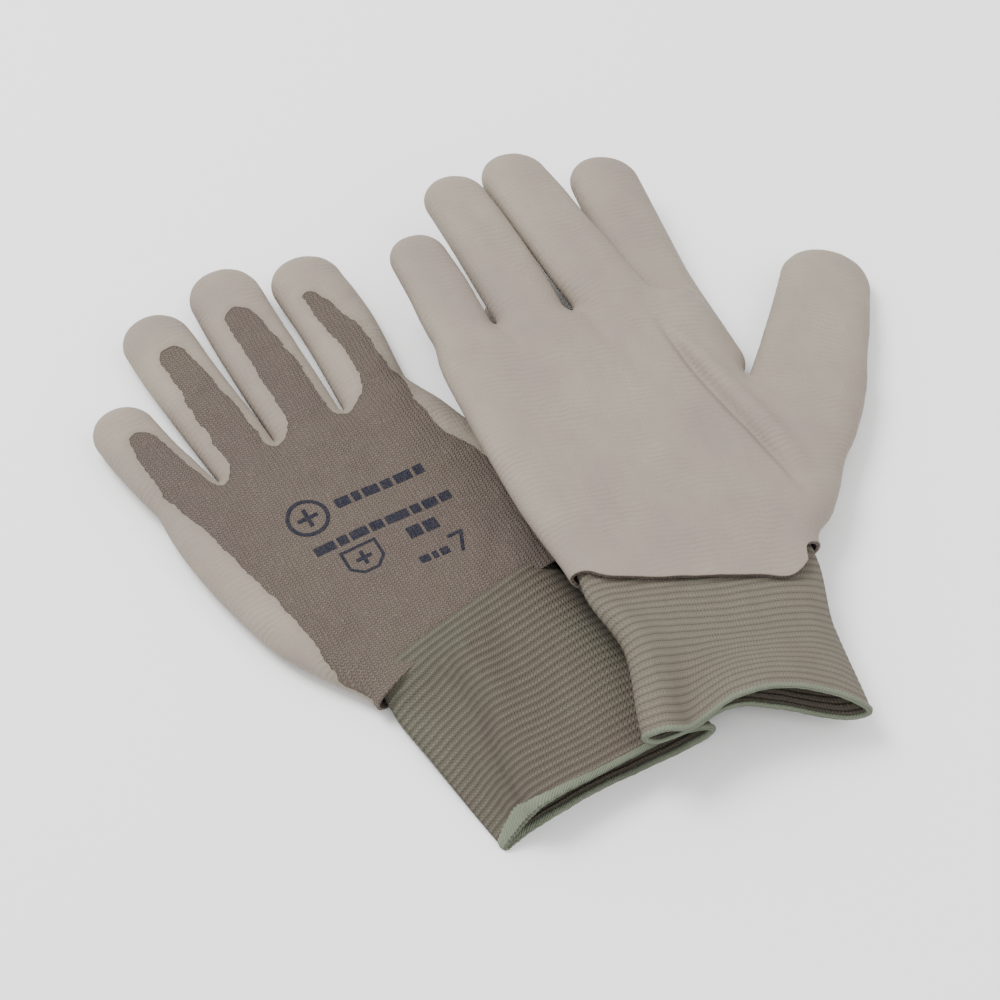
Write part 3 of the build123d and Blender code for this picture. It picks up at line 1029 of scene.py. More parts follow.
@dataclass(frozen=True)
class Thread(Finish):
    """Twisted thread of the binding: slanting strands with painted shade between them."""

    twist: float = 1.1

    def nodes(self, graph: Graph, groups: Groups) -> tuple[object, object, object]:
        """Colour, height and roughness of the thread."""
        mottle = self.used(graph, groups.mottle, Grain=1300.0)
        cloth = graph.node("UVMap", uv_map=Glaze.CLOTH.value)
        split = graph.node("SeparateXYZ")
        graph.join(cloth.outputs[0], split.inputs[0])
        slant = graph.math("ADD", graph.math("DIVIDE", split.outputs[0], self.twist), split.outputs[1])
        strand = graph.math("ABSOLUTE", graph.math("SINE", graph.math("MULTIPLY", slant, math.pi)))
        colour = graph.mix(mottle.outputs["Wide"], self.base, self.second)
        # Painted shade: the colour darkens between the strands.
        gap = graph.math("MULTIPLY", graph.ramp(strand, 0.5, 0.0), 0.4)
        colour = graph.mix(gap, colour, srgb(88, 92, 80))
        return colour, graph.math("ADD", strand, mottle.outputs["Fine"]), self.roughness


@dataclass(frozen=True)
class Ink(Finish):
    """Printed ink, worn off in fine random patches."""

    def nodes(self, graph: Graph, groups: Groups) -> tuple[object, object, object]:
        """Colour, height and roughness of the ink."""
        mottle = self.used(graph, groups.mottle, Grain=1400.0)
        stitches = self.used(graph, groups.stitches, Wale=1.3, Course=1.0)
        worn = graph.math("MULTIPLY", graph.ramp(mottle.outputs["Fine"], 0.46, 0.7), 0.7)
        colour = graph.mix(worn, self.base, self.second)
        height = graph.math("ADD", stitches.outputs[0], mottle.outputs["Fine"])
        return colour, height, self.roughness


# ---------------------------------------------------------------- print


class Marks:
    """Generic print on the back of the hand: plain icons, dashes in rows and the size numeral."""

    ICON = (-15.5, 12.9)
    BADGE = (-7.6, -8.2)
    NUMERAL = (19.7, -16.4)
    ROWS = (  # left end, middle, height and dashes of each row
        (-6.0, 13.4, 3.4, (4.6, 2.6, 5.2, 3.4, 5.6, 3.0)),
        (-19.4, 0.6, 3.2, (6.6, 3.2, 5.6, 4.2, 7.4, 3.0, 4.6, 3.6)),
        (7.6, -6.8, 4.2, (4.4, 4.4)),
        (6.0, -17.2, 2.6, (3.2, 1.6, 2.8)),
    )

    def __init__(self, at: tuple[float, float], lean: float = 0.0) -> None:
        self.at = at
        self.lean = math.radians(lean)

    @staticmethod
    def box(x: np.ndarray, y: np.ndarray, cx: float, cy: float, wide: float, high: float) -> np.ndarray:
        """Signed distance to a rectangle, negative inside."""
        return np.maximum(np.abs(x - cx) - wide / 2, np.abs(y - cy) - high / 2)

    @staticmethod
    def stroke(x: np.ndarray, y: np.ndarray, start: tuple, end: tuple, wide: float) -> np.ndarray:
        """Signed distance to a straight stroke."""
        ex, ey = end[0] - start[0], end[1] - start[1]
        share = np.clip(((x - start[0]) * ex + (y - start[1]) * ey) / (ex * ex + ey * ey), 0, 1)
        return np.hypot(x - start[0] - share * ex, y - start[1] - share * ey) - wide / 2

    def field(self, x: np.ndarray, y: np.ndarray) -> np.ndarray:
        """Signed distance to the ink, negative inside."""
        c, s = math.cos(self.lean), math.sin(self.lean)
        px, py = x - self.at[0], y - self.at[1]
        x, y = px * c + py * s, -px * s + py * c
        ix, iy = self.ICON
        ring = np.abs(np.hypot(x - ix, y - iy) - 6.0) - 0.6
        cross = np.minimum(self.box(x, y, ix, iy, 1.3, 6.6), self.box(x, y, ix, iy, 6.6, 1.3))
        ink = np.minimum(ring, cross)
        bx, by = self.BADGE
        point = (by - y) * 0.7 + np.abs(x - bx) * 0.7 - 4.9
        ink = np.minimum(ink, np.abs(np.maximum(self.box(x, y, bx, by, 11.0, 9.4), point)) - 0.45)
        ink = np.minimum(ink, self.box(x, y, bx, by + 0.4, 5.0, 1.2))
        ink = np.minimum(ink, self.box(x, y, bx, by + 0.4, 1.2, 5.0))
        for left, height, tall, dashes in self.ROWS:
            for dash in dashes:
                ink = np.minimum(ink, self.box(x, y, left + dash / 2, height, dash, tall))
                left += dash + 1.0
        nx, ny = self.NUMERAL
        seven = np.minimum(
            self.stroke(x, y, (nx - 2.0, ny + 3.2), (nx + 2.0, ny + 3.2), 1.1),
            self.stroke(x, y, (nx + 2.0, ny + 3.2), (nx - 0.6, ny - 3.0), 1.1),
        )
        return np.minimum(ink, seven)


# ---------------------------------------------------------------- one glove


@dataclass(frozen=True)
class Look:
    """Finishes of a glove's pieces."""

    liner: bpy.types.Material
    coating: bpy.types.Material
    cuff: bpy.types.Material
    overlock: bpy.types.Material
    elastic: bpy.types.Material
    print: bpy.types.Material


@dataclass
class Glove:
    """All visible pieces of one glove."""

    hand: str
    shape: Hand
    cuff: Cuff
    marks: Marks
    place: Place
    look: Look
    step: float

    def finish(self, piece: bpy.types.Object, material: bpy.types.Material, node: str) -> None:
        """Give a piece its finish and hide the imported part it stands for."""
        piece.data.materials.append(material)
        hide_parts(node)
        LOG.info("%s: %d triangles", piece.name, len(piece.data.polygons))

    def follow(self, piece: bpy.types.Object, rule: tuple) -> None:
        """Make a piece ride on one body; with a rule of two bodies its transform is only baked into its mesh.
        """
        if len(rule) == 1:
            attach(piece, rule[0])
        else:
            first, second, start, end = rule
            points = self.place.world(np.array([start, end], float))
            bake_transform(piece)

    def layers(self, label: str, surface: Surface, stitched: np.ndarray, rule: tuple) -> None:
        """Knit and film of one section, from its cut outer face."""
        nodes = f"{self.hand}_{label}"
        surface.cloth = stitched
        knit = shell(f"{nodes}_knit", surface, LINER_DEPTH, self.place)
        self.finish(knit, self.look.liner, f"{nodes}_liner")
        self.follow(knit, rule)
        cover = self.shape.film(surface.points)
        surface.rim = np.clip(cover, 0.0, 12.0)
        film = surface.clip(cover)
        rise = 0.55 * smooth_step(film.rim, 0.0, 0.9) + 0.45
        film = replace(film, points=film.points + film.normals * (FILM_DEPTH * rise)[:, None])
        coat = shell(f"{nodes}_film", film, FILM_DEPTH * 0.9, self.place)
        self.finish(coat, self.look.coating, f"{nodes}_coating")
        self.follow(coat, rule)

    def plans(self, points: np.ndarray) -> dict:
        """Plan values of the shape at points."""
        return self.shape.plans(points[:, 0], points[:, 1])

    def main_rule(self) -> tuple:
        """How the hand and the cuff move."""
        body = f"{self.hand}_glove"
        if self.hand == "right":
            return body, "right_wrist_end", (0.0, 3.0, 0.0), (0.0, -15.0, 0.0)
        return (body,)

    def build_hand(self) -> None:
        """Palm, back and the roots of the stalls."""
        surface = self.shape.surface(self.step)
        plans = self.plans(surface.points)
        beyond = np.maximum.reduce(list(self.shape.cuts(plans).values()))
        surface = surface.clip(np.minimum(-beyond, self.shape.knit_end(surface.points)))
        self.layers("hand", surface, surface.points[:, :2].copy(), self.main_rule())

    def build_stall(self, name: str) -> None:
        """One stall, in one piece or in two split near its middle joint."""
        limb = self.shape.limbs[name]
        surface = self.shape.surface(self.step, name)
        plans = self.plans(surface.points)
        surface = surface.clip(self.shape.stall_cut(plans, name))
        body = f"{self.hand}_glove"
        _, along = limb.axes()

        def spot(distance: float) -> tuple[float, float, float]:
            """Point on the stall's middle line."""
            return (*(np.array(limb.root[:2]) + along * distance), 0.0)

        if self.hand == "left":
            rule = (body,) if name == "thumb" else (body, f"left_{name}", spot(0.0), spot(12.0))
            sections = {name: (surface, rule)}
        else:
            reach = limb.local(surface.points[:, 0], surface.points[:, 1])[1]
            split, joint = limb.knuckle - 8.0, limb.knuckle
            base, tip = surface.clip(split - reach), surface.clip(reach - split)
            bend = min(12.0, split - 0.5)
            first, second = f"right_{name}_base", f"right_{name}_tip"
            sections = {
                f"{name}_base": (base, (body, first, spot(0.0), spot(bend))),
                f"{name}_tip": (tip, (first, second, spot(split), spot(joint + 7.0))),
            }
        for label, (section, rule) in sections.items():
            u, v = limb.local(section.points[:, 0], section.points[:, 1])
            self.layers(label, section, np.stack([u, v], 1), rule)

    def build_cuff(self) -> None:
        """Ribbed cuff with its inner face, its binding, the yarns in its wall and the thread's tail."""
        cuff = self.cuff
        rows = int(cuff.length / cuff.rib * (10))
        share = np.linspace(0.0, 1.0, rows)
        outer = cuff.grid(share, cuff.relief(share))
        inner_share = share[::2]
        inner = cuff.grid(inner_share, cuff.wall - 0.3 * cuff.relief(inner_share), flip=True)
        caps = [self.cap(share[:1], cuff, True), self.cap(share[-1:], cuff, False)]
        piece = solid_object(f"{self.hand}_cuff_ribs", merged([outer, inner, *caps]), self.place)
        self.finish(piece, self.look.cuff, f"{self.hand}_cuff")
        self.follow(piece, self.main_rule())
        self.build_hem()
        self.build_elastic()
        self.build_tail()

    @staticmethod
    def cap(share: np.ndarray, cuff: Cuff, first: bool) -> Surface:
        """Face that closes the wall at one end."""
        outside, _ = cuff.lay(share, cuff.relief(share))
        inside, _ = cuff.lay(share, cuff.wall - 0.3 * cuff.relief(share))
        points = np.stack([outside[0], inside[0]]) if not first else np.stack([inside[0], outside[0]])
        return grid_surface(points, np.array([0.0, cuff.wall]))

    def build_hem(self) -> None:
        """Binding round the mouth: a fat seam whose loops stand proud one after another."""
        cuff = self.cuff
        height = through(np.array(cuff.hem)[:, None], cuff.per_span, closed=True)[:, 0]
        around = np.linspace(0, math.tau, 14, endpoint=False)
        half = cuff.wall / 2
        rings = []
        for angle in around:
            rise = 0.5 - 0.5 * math.cos(angle)
            swell = half * (1.0 + 0.30 * abs(math.sin(angle)))
            inward = half - math.sin(angle) * (swell + 0.18)
            back = rise * height - 0.35
            rings.append(self.hem_ring(cuff, inward, back))
        points = np.stack(rings, 1)
        number = len(points)
        wave = 0.5 + 0.5 * np.sin(np.arange(number) / number * math.tau * round(number / 4.2))
        middle = points.mean(1, keepdims=True)
        points = middle + (points - middle) * (1.0 + 0.10 * (wave[:, None, None] - 0.5))
        closed = np.concatenate([points, points[:1]])
        lengths = np.concatenate([[0.0], np.cumsum(np.linalg.norm(np.diff(closed[:, 0], axis=0), axis=1))])
        surface = grid_surface(closed, lengths, flip=True)
        piece = solid_object(f"{self.hand}_cuff_binding", surface, self.place)
        self.finish(piece, self.look.overlock, f"{self.hand}_cuff_overlock")
        self.follow(piece, self.main_rule())

    @staticmethod
    def hem_ring(cuff: Cuff, inward: float, back: np.ndarray) -> np.ndarray:
        """Line along the mouth at a depth in the wall and a distance back from the edge."""
        shares = 1.0 - np.clip(back, -1.0, 20.0) / cuff.length
        grid_share = np.linspace(1.0 - 12.0 / cuff.length, 1.0, 25)
        points, _ = cuff.lay(grid_share, inward)
        place = (shares - grid_share[0]) / (grid_share[1] - grid_share[0])
        low = np.clip(np.floor(place).astype(int), 0, len(grid_share) - 2)
        mix = (place - low)[:, None]
        column = np.arange(points.shape[1])
        return points[low, column] * (1 - mix) + points[low + 1, column] * mix

    def build_elastic(self) -> None:
        """Covered elastic yarns inside the wall."""
        cuff, parts = self.cuff, []
        for number in range(cuff.turns):
            share = (number + 1) / (cuff.turns + 1)
            rings = []
            for angle in np.linspace(0, math.tau, 6, endpoint=False):
                at = np.array([share + 0.2 * math.cos(angle) / cuff.length])
                points, _ = cuff.lay(at, cuff.wall * 0.6 + 0.2 * math.sin(angle))
                rings.append(points[0][::2])
            points = np.stack(rings, 1)
            closed = np.concatenate([points, points[:1]])
            parts.append(grid_surface(closed, np.arange(len(closed), dtype=float)))
        piece = solid_object(f"{self.hand}_cuff_yarns", merged(parts), self.place)
        self.finish(piece, self.look.elastic, f"{self.hand}_cuff_elastic")
        self.follow(piece, self.main_rule())

    def build_tail(self) -> None:
        """Sewn-down end of the binding's thread: a small flat strip on the cuff."""
        cuff = self.cuff
        share = 1.0 - np.linspace(11.5, 2.2, 16) / cuff.length
        points, _ = cuff.lay(share, -0.12)
        number = points.shape[1]
        start = self.tail_at(number)
        strip = points[:, start : start + 8]
        low, _ = cuff.lay(share, 0.35)
        low = low[:, start : start + 8]
        loop = np.concatenate([strip, low[:, ::-1]], axis=1)
        wave = 0.12 * np.sin(np.arange(16) * 2.1)[:, None]
        loop[:, :, 2] += wave
        ends = loop[[0, -1]].mean(1, keepdims=True).repeat(loop.shape[1], 1)
        loop = np.concatenate([ends[:1], loop, ends[1:]])
        surface = grid_surface(loop, np.arange(len(loop)) * 0.6)
        piece = solid_object(f"{self.hand}_thread_tail", surface, self.place)
        self.finish(piece, self.look.overlock, f"{self.hand}_overlock_tail")
        self.follow(piece, self.main_rule())

    def tail_at(self, number: int) -> int:
        """Point of the ring where the tail lies."""
        return int(number * (1.5 / len(self.cuff.sections[0])))

    def build_print(self) -> None:
        """Ink on the back: a fine grid laid on the knit and cut to the marks."""
        x0, y0 = self.marks.at
        step = PRINT_STEP
        xs, ys = np.arange(x0 - 24, x0 + 26, step), np.arange(y0 - 22, y0 + 22, step)
        grid_x, grid_y = (a.ravel() for a in np.meshgrid(xs, ys, indexing="ij"))
        plans = self.shape.plans(grid_x, grid_y)
        outward = -self.shape.side.value
        z = np.full(grid_x.shape, self.shape.half_height * outward)
        for _ in range(3):
            value = self.shape.combine(plans, z)
            slope = (self.shape.combine(plans, z + 0.05) - value) / 0.05
            z = z - np.clip(value / np.where(np.abs(slope) < 0.2, outward, slope), -0.6, 0.6)
        points = np.stack([grid_x, grid_y, z], 1)
        _, slope = self.shape.slope(points, None, 0.35)
        normals = slope / np.linalg.norm(slope, axis=1, keepdims=True)
        index = np.arange(len(points)).reshape(len(xs), len(ys))
        a, b = index[:-1, :-1].ravel(), index[1:, :-1].ravel()
        c, d = index[1:, 1:].ravel(), index[:-1, 1:].ravel()
        triangles = np.vstack([np.c_[a, b, c], np.c_[a, c, d]])
        if outward < 0:
            triangles = triangles[:, ::-1]
        surface = Surface(points + normals * 0.1, normals, points[:, :2].copy(), triangles)
        surface = surface.clip(-self.marks.field(grid_x, grid_y))
        piece = shell(f"{self.hand}_back_marks", surface, 0.14, self.place)
        self.finish(piece, self.look.print, f"{self.hand}_back_print")
        self.follow(piece, (f"{self.hand}_glove",))

    def build(self) -> None:
        """Every piece of the glove."""
        self.build_hand()
        for name in self.shape.limbs:
            self.build_stall(name)
        self.build_cuff()
        self.build_print()


# ---------------------------------------------------------------- sizes of the two gloves

LEFT_HAND = Hand(
    side=Side.PALM_DOWN,
    outline=(
        (-33.0, -24.0), (-35.5, -8.0), (-44.0, 6.0), (-52.0, 22.0), (-58.5, 50.0), (-60.0, 76.0),
        (-52.0, 84.0),
        (-39.0, 81.5), (-29.0, 89.0), (-18.0, 87.0), (-6.0, 91.0), (6.0, 88.5), (19.0, 91.0), (28.0, 90.5),
        (34.0, 80.0), (40.0, 62.0), (52.0, 44.0), (62.0, 30.0), (60.0, 22.0), (46.0, 7.0), (34.0, -3.0),
        (32.0, -20.0),
    ),
    limbs={
        "little": Limb(
            (-50.5, 85.5, -10.5), 40.0,
            ((-30, 1.5, 8.6, 0), (0, 0, 10.1, 0), (18, -0.4, 9.9, 0.2), (29.8, 0.2, 9.6, 0.4)),
        ),
        "ring": Limb(
            (-28.6, 92.2, -3.4), 62.5,
            ((-30, 0, 9.5, 0), (0, 0, 10.6, 0), (30, -0.3, 10.8, 0), (51.4, 0.2, 10.7, 0.3)),
        ),
        "middle": Limb(
            (-5.8, 93.3, 1.6), 68.5,
            ((-30, 0, 10.5, 0), (0, 0, 11.2, 0), (34, -0.6, 11.5, 0.2), (56.8, -0.4, 11.2, 0.5)),
        ),
        "index": Limb(
            (18.3, 93.4, 4.0), 61.0,
            ((-30, 0, 10, 0), (0, 0, 10.8, 0), (26, 0.8, 11.5, 0), (49.4, -0.8, 11.3, 0.2)),
        ),
        "thumb": Limb(
            (54.0, 49.0, 23.0), 64.0,
            ((-46, -19, 13, 0), (-20, -5, 16.5, 0), (0, 0, 16, 0), (28, 0, 14, 0), (51.5, 0, 12.5, 0)),
        ),
    },
    creases=(
        Crease(((-40.0, 84.0), (-37.0, 74.0), (-33.0, 66.0)), 0.7, 2.6),
        Crease(((-18.0, 90.0), (-17.0, 80.0), (-14.0, 70.0)), 0.6, 2.4),
        Crease(((6.5, 90.0), (7.0, 80.0), (5.0, 72.0)), 0.7, 2.4),
        Crease(((-47.0, 40.0), (-30.0, 33.0), (-12.0, 34.0)), 0.35, 3.5),
        Crease(((-38.0, 6.0), (-28.0, 16.0), (-24.0, 30.0)), 0.6, 3.0),
        Crease(((12.0, 4.0), (20.0, 20.0), (30.0, 34.0)), 0.45, 3.4),
        Crease(((-33.0, 112.0), (-28.0, 114.0), (-23.0, 112.0)), 0.3, 2.6),
        Crease(((-8.0, 118.0), (-3.0, 120.0), (3.0, 118.0)), 0.3, 2.6),
    ),
    window=(
        (-39.0, -26.0), (-40.5, -3.0), (-44.0, 26.0), (-48.5, 49.0), (-52.5, 72.0), (-55.5, 84.0),
        (-46.0, 86.0),
        (-38.5, 80.5), (-30.0, 90.0), (-18.6, 86.0), (-6.0, 92.0), (6.2, 87.0), (17.0, 93.0), (27.0, 93.0),
        (26.5, 80.0), (27.5, 66.0), (34.5, 49.0), (38.0, 25.0), (36.0, 2.0), (36.0, -26.0),
    ),
    tongues={
        "little": ((-14, 0.5, 6.2, 0), (4, 0.3, 6.2, 0), (20.0, 0.6, 4.4, 0)),
        "ring": ((-16, 0.5, 6.6, 0), (10, 0.6, 6.4, 0), (39.5, 0.2, 4.6, 0)),
        "middle": ((-16, 0.8, 6.8, 0), (16, 0.8, 6.6, 0), (43.0, -1.2, 4.8, 0)),
        "index": ((-16, 1.4, 6.2, 0), (10, 2.2, 4.6, 0), (22, 1.0, 4.6, 0), (40.0, -3.4, 2.6, 0)),
    },
    wrist_film=((-70.0, -12.0), (-40.0, -11.0), (-34.0, -9.5), (0.0, -8.0), (34.0, -4.0), (80.0, -4.0)),
    wrist_knit=(
        (-70.0, -14.0), (-36.0, -11.0), (-18.0, -5.5), (0.0, -1.0), (18.0, 3.0), (34.0, 5.5),
        (80.0, 6.0),
    ),
    seed=11,
)

RIGHT_HAND = Hand(
    side=Side.PALM_UP,
    outline=(
        (-32.5, -36.0), (-34.5, -10.0), (-39.0, 8.0), (-42.5, 26.0), (-46.0, 52.0), (-48.0, 78.0),
        (-40.0, 88.0),
        (-29.0, 88.0), (-16.0, 92.0), (1.0, 90.5), (12.0, 94.0), (25.0, 94.0), (37.5, 94.0), (41.0, 84.0),
        (42.0, 68.0), (45.0, 54.0), (56.0, 42.0), (62.0, 29.0), (60.0, 15.0), (51.0, 0.0), (42.0, -10.0),
        (38.0, -36.0),
    ),
    limbs={
        "little": Limb(
            (-38.2, 89.5, -7.5), 41.0,
            ((-30, 1, 8.6, 0), (0, 0, 9.9, 0), (18, 0.3, 9.5, 0.3), (31.8, 0.0, 9.0, 0)),
            19.3,
        ),
        "ring": Limb(
            (-14.6, 92.0, -9.4), 63.5,
            ((-30, 0, 9.5, 0), (0, 0, 10.8, 0), (30, 0.4, 11.0, 0.4), (52.8, 0, 10.3, 0.2)),
            29.8,
        ),
        "middle": Limb(
            (10.8, 94.2, -11.8), 69.5,
            ((-30, 0, 11, 0.6), (0, 1.6, 12.6, 1.2), (14, 1.0, 12.6, 1.6), (34, 0.2, 11.7, 1.2),
             (57.6, -0.2, 11.0, 0.5)),
            32.7,
        ),
        "index": Limb(
            (33.6, 95.6, -6.9), 62.0,
            ((-30, 0, 10, -2.2), (0, -0.6, 10.8, -3.4), (18, -0.6, 11.2, -2.8), (50.0, 0.4, 11.3, 0)),
            29.1,
        ),
        "thumb": Limb(
            (58.4, 44.4, 29.9), 67.0,
            ((-46, -19, 13, 0), (-20, -3.4, 17.6, 0), (0, 0.8, 18.0, 0.4), (28, 0.8, 16.0, 0.8),
             (52.0, 0, 14.4, 0.4)),
            30.1,
        ),
    },
    creases=(
        Crease(((22.0, 78.0), (27.0, 58.0), (34.0, 36.0), (43.0, 6.0)), 3.0, 1.7),
        Crease(((26.0, 74.0), (33.0, 55.0), (40.5, 34.0), (48.0, 10.0)), -1.9, 3.2),
        Crease(((27.0, 98.5), (32.5, 93.5), (41.0, 89.5)), 1.7, 1.3),
        Crease(((23.0, 97.0), (29.0, 90.5), (37.0, 86.0)), -0.8, 2.6),
        Crease(((36.0, 62.0), (46.0, 50.0), (53.0, 40.0)), 0.9, 3.2),
        Crease(((-29.0, 93.0), (-27.0, 84.0), (-24.0, 76.0)), 0.8, 2.6),
        Crease(((1.3, 94.0), (2.0, 84.0), (3.0, 74.0)), 0.8, 2.6),
        Crease(((-38.0, 68.0), (-20.0, 72.0), (0.0, 80.0), (14.0, 82.0)), 0.45, 5.0),
        Crease(((-30.0, 30.0), (-14.0, 38.0), (4.0, 36.0)), 0.35, 5.0),
        Crease(((-24.0, 116.0), (-17.0, 118.0), (-10.0, 115.0)), 0.35, 3.0),
        Crease(((60.0, 62.0), (70.0, 66.0), (78.0, 62.0)), 0.4, 4.0),
    ),
    window=(
        (-31.0, -30.0), (-31.0, -3.0), (-34.0, 26.0), (-37.0, 49.0), (-39.0, 72.0), (-38.0, 86.0),
        (-28.0, 86.0), (-14.0, 90.0), (1.0, 88.0), (11.0, 92.0), (24.0, 88.0), (31.0, 92.0),
        (33.0, 80.0), (32.5, 62.0), (34.0, 40.0), (34.0, 20.0), (32.0, 0.0), (32.0, -30.0),
    ),
    tongues={
        "little": ((-14, 0, 6.2, 0), (4, 0, 6.2, 0), (22.0, 0, 4.6, 0)),
        "ring": ((-16, 0, 6.4, 0), (10, 0, 6.2, 0), (43.0, 0, 5.2, 0)),
        "middle": ((-16, 0.6, 6.6, 0), (20, 0.4, 6.4, 0), (48.0, 0, 5.4, 0)),
        "index": ((-16, 0, 6.4, 0), (20, 0, 6.2, 0), (42.0, 0, 5.2, 0)),
    },
    wrist_film=(
        (-70.0, -10.0), (-36.0, -10.4), (-26.0, -15.2), (-12.0, -18.6), (4.0, -21.0), (18.0, -23.2),
        (27.0, -25.2), (34.0, -21.0), (40.0, -13.6), (80.0, -12.0),
    ),
    wrist_knit=(
        (-70.0, -9.0), (-36.0, -9.4), (-26.0, -14.0), (-12.0, -17.4), (4.0, -19.8), (18.0, -22.0),
        (27.0, -24.0), (34.0, -19.8), (40.0, -12.4), (80.0, -11.0),
    ),
    seed=23,
)

LEFT_CUFF = Cuff(
    shares=(0.0, 0.25, 1.0),
    sections=(
        (
            (-32.5, 0.0), (-30.0, 3.4), (-20.0, 5.0), (-6.0, 5.4), (8.0, 5.2), (24.0, 4.7), (32.0, 0.0),
            (26.0, -4.6), (8.0, -5.1), (-8.0, -5.1), (-22.0, -5.0), (-30.0, -3.6),
        ),
        (
            (-33.5, -2.8), (-27.0, 0.2), (-18.0, 3.8), (-10.5, 7.0), (2.0, 5.2), (22.0, 4.9),
            (32.0, 0.2), (26.0, -4.6), (8.0, -5.1), (-8.0, -5.1), (-22.0, -5.1), (-31.0, -4.6),
        ),
        (
            (-34.0, -4.8), (-30.0, -1.4), (-26.0, 3.0), (-21.6, 7.4), (-4.0, 6.4), (18.0, 5.8),
            (32.5, 1.0), (28.0, -4.2), (10.0, -5.2), (-6.0, -5.3), (-20.0, -5.3), (-31.0, -5.3),
        ),
    ),
    start=(0.6, 3.6, 12.0),
    end=(9.6, -65.6, 3.0),
    sag=(-1.0, -1.5, -1.5, -1.0, -1.0, -0.5, 0.5, -1.0, -2.5, -3.0, -3.0, -2.0),
    hem=(4.2, 6.2, 6.6, 4.0, 2.3, 2.1, 2.1, 2.1, 2.1, 2.1, 2.6, 3.6),
    seed=3,
)

RIGHT_CUFF = Cuff(
    shares=(0.18, 0.55, 1.0),
    sections=(
        (
            (-34.5, 0.0), (-31.0, 2.2), (-18.0, 3.1), (-4.0, 3.2), (10.0, 3.2), (26.0, 2.9), (35.5, 0.0),
            (28.0, -2.9), (10.0, -3.2), (-4.0, -3.2), (-18.0, -3.1), (-30.0, -2.2),
        ),
        (
            (-29.5, 1.6), (-25.5, 5.6), (-17.0, 6.2), (-4.0, 5.0), (10.0, 4.8), (25.0, 4.0), (32.0, 0.0),
            (26.0, -4.2), (10.0, -4.6), (-4.0, -4.4), (-17.0, -4.0), (-26.0, -2.4),
        ),
        (
            (-33.0, 1.0), (-28.0, 5.2), (-20.0, 2.6), (-7.0, 6.4), (8.0, 8.6), (22.0, 6.6), (32.5, 0.4),
            (26.0, -4.0), (10.0, -4.8), (-4.0, -4.8), (-19.0, -4.2), (-28.0, -2.6),
        ),
    ),
    start=(3.4, -3.6, -1.0),
    end=(3.2, -67.4, -5.0),
    sag=(0.5, 1.0, -1.0, -6.5, -7.0, -4.5, -2.5, -4.0, -10.0, -12.0, -5.0, -1.0),
    hem=(1.6, 1.6, 1.5, 1.4, 1.4, 1.4, 1.7, 1.4, 1.4, 1.4, 1.4, 1.6),
    seed=5,
    drop=-4.2,
)


# ---------------------------------------------------------------- studio and main


@dataclass(frozen=True)
class Studio:
    """Camera, lights, floor and surroundings."""

    target: tuple[float, float, float]
    elevation: float = 52.0
    distance: float = 0.8
    lens: float = 95.04
    brightness: float = 1.35
    key: tuple[tuple[float, float, float], float, float] = ((-0.7, 0.4, 1.3), 0.7, 27.0)
    fill: tuple[tuple[float, float, float], float, float] = ((0.9, -0.5, 1.2), 1.2, 7.0)
    floor_half: float = 4.0
    floor_white: float = 0.93

    def camera(self) -> None:
        """Camera above the front of the pair, looking at the middle of it."""
        data = bpy.data.cameras.new("camera")
        data.lens, data.sensor_width = self.lens, 36.0
        data.clip_start, data.clip_end = 0.01, 20.0
        camera = bpy.data.objects.new("camera", data)
        bpy.context.scene.collection.objects.link(camera)
        lean = math.radians(self.elevation)
        away = Vector((0.0, -math.cos(lean), math.sin(lean))) * self.distance
        camera.location = Vector(self.target) + away
        camera.rotation_euler = (-away).to_track_quat("-Z", "Y").to_euler()
        bpy.context.scene.camera = camera

    def light(self, name: str, place: tuple[float, float, float], size: float, power: float) -> None:
        """Soft square light that looks at the pair."""
        data = bpy.data.lights.new(name, "AREA")
        data.size, data.energy = size, power
        lamp = bpy.data.objects.new(name, data)
        bpy.context.scene.collection.objects.link(lamp)
        lamp.location = place
        lamp.rotation_euler = (Vector(self.target) - Vector(place)).to_track_quat("-Z", "Y").to_euler()

    def floor(self) -> None:
        """Wide pale floor."""
        corners = np.array([(-1, -1, 0), (1, -1, 0), (1, 1, 0), (-1, 1, 0)], float) * self.floor_half
        mesh = bpy.data.meshes.new("floor")
        mesh.from_pydata(corners.tolist(), [], [(0, 1, 2, 3)])
        floor = bpy.data.objects.new("floor", mesh)
        bpy.context.scene.collection.objects.link(floor)
        material = bpy.data.materials.new("floor")
        material.use_nodes = True
        shader = material.node_tree.nodes["Principled BSDF"]
        shader.inputs["Base Color"].default_value = (*(self.floor_white,) * 3, 1.0)
        shader.inputs["Roughness"].default_value = 0.9
        mesh.materials.append(material)

    def world(self) -> None:
        """Even white surroundings."""
        world = bpy.data.worlds.new("surroundings")
        world.use_nodes = True
        world.node_tree.nodes["Background"].inputs[0].default_value = (1.0, 1.0, 1.0, 1.0)
        world.node_tree.nodes["Background"].inputs[1].default_value = self.brightness
        bpy.context.scene.world = world

    def build(self) -> None:
        """Everything around the pair."""
        self.camera()
        self.light("key", *self.key)
        self.light("fill", *self.fill)
        self.floor()
        self.world()


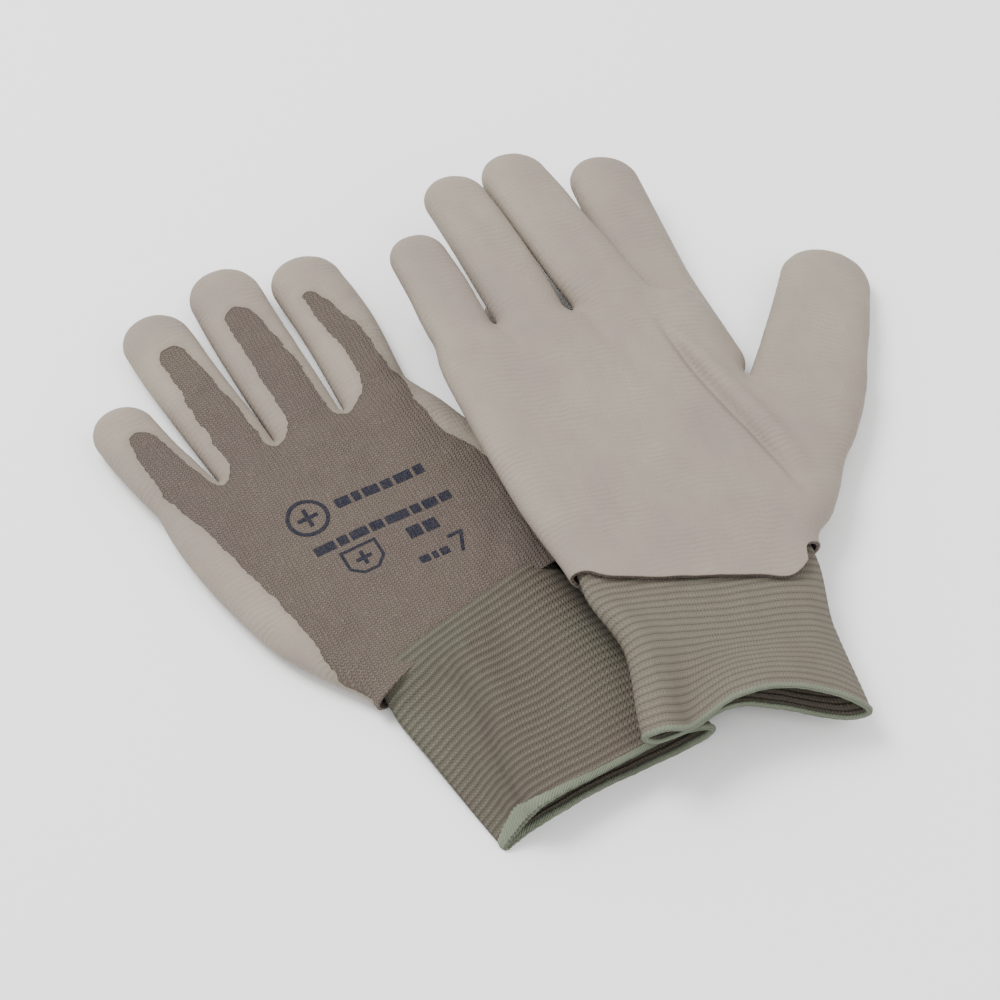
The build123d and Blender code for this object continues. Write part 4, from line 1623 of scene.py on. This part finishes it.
def looks() -> dict[str, Look]:
    """All finishes; the left glove's cuff gets a darker copy of the ribbing, as painted shade."""
    groups = Groups(stitch_group(), mottle_group())
    liner = Knit("knit", srgb(95, 85, 76), srgb(88, 77, 73), 0.85, 0.9).build(groups)
    coating = Film("film", srgb(139, 130, 117), srgb(126, 115, 107), 0.6, 0.45).build(groups)
    overlock = Thread("binding_thread", srgb(121, 128, 110), srgb(100, 107, 91), 0.75, 0.7).build(groups)
    elastic = Thread("elastic_yarn", srgb(150, 150, 140), srgb(130, 130, 120), 0.7, 0.4).build(groups)
    ink = Ink("ink", srgb(22, 24, 38), srgb(58, 52, 54), 0.7, 0.7).build(groups)
    cuffs = {
        # Painted shade: the left cuff's ribbing is a darker copy of the right one's.
        "left": Ribbing("ribbing_painted_shade", srgb(83, 81, 69), srgb(82, 71, 64), 0.85, 0.8),
        "right": Ribbing("ribbing", srgb(106, 103, 91), srgb(104, 94, 84), 0.85, 0.8),
    }
    return {
        hand: Look(liner, coating, ribbing.build(groups), overlock, elastic, ink)
        for hand, ribbing in cuffs.items()
    }


def joint_place(frame: dict, name: str) -> np.ndarray:
    """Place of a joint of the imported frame."""
    return np.array(next(joint for joint in frame["joints"] if joint["name"] == name)["pos_m"], float)


def glove_place(frame: dict, hand: str, shape: Hand) -> Place:
    """Place of a glove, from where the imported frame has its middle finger's first joint.

    That joint's axis lies on the face of the film that looks up, half a seam past the finger's root.
    """
    turn, tilt = {"left": (29.6, 0.0), "right": (16.9, 8.6)}[hand]
    joint = {"left": "left_middle_fold", "right": "right_middle_curl"}[hand]
    limb = shape.limbs["middle"]
    spot = np.array([*(np.array(limb.root[:2]) + limb.axes()[1] * 0.3), 5.6])
    return Place.of_glove(turn, tilt, spot, joint_place(frame, joint))


def main() -> None:
    """Build both gloves and the studio."""
    logging.basicConfig(level=logging.INFO, format="%(message)s")
    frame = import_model()
    step = FULL_STEP
    look = looks()
    places = {}
    for hand, shape, cuff in (("left", LEFT_HAND, LEFT_CUFF), ("right", RIGHT_HAND, RIGHT_CUFF)):
        places[hand] = glove_place(frame, hand, shape)
        Glove(hand, shape, cuff, Marks(PRINT_AT), places[hand], look[hand], step).build()
    target = places["left"].origin[:2] - np.array(LEFT_WRIST)
    Studio((float(target[0]), float(target[1]), 0.0)).build()


if __name__ == "__main__":
    main()
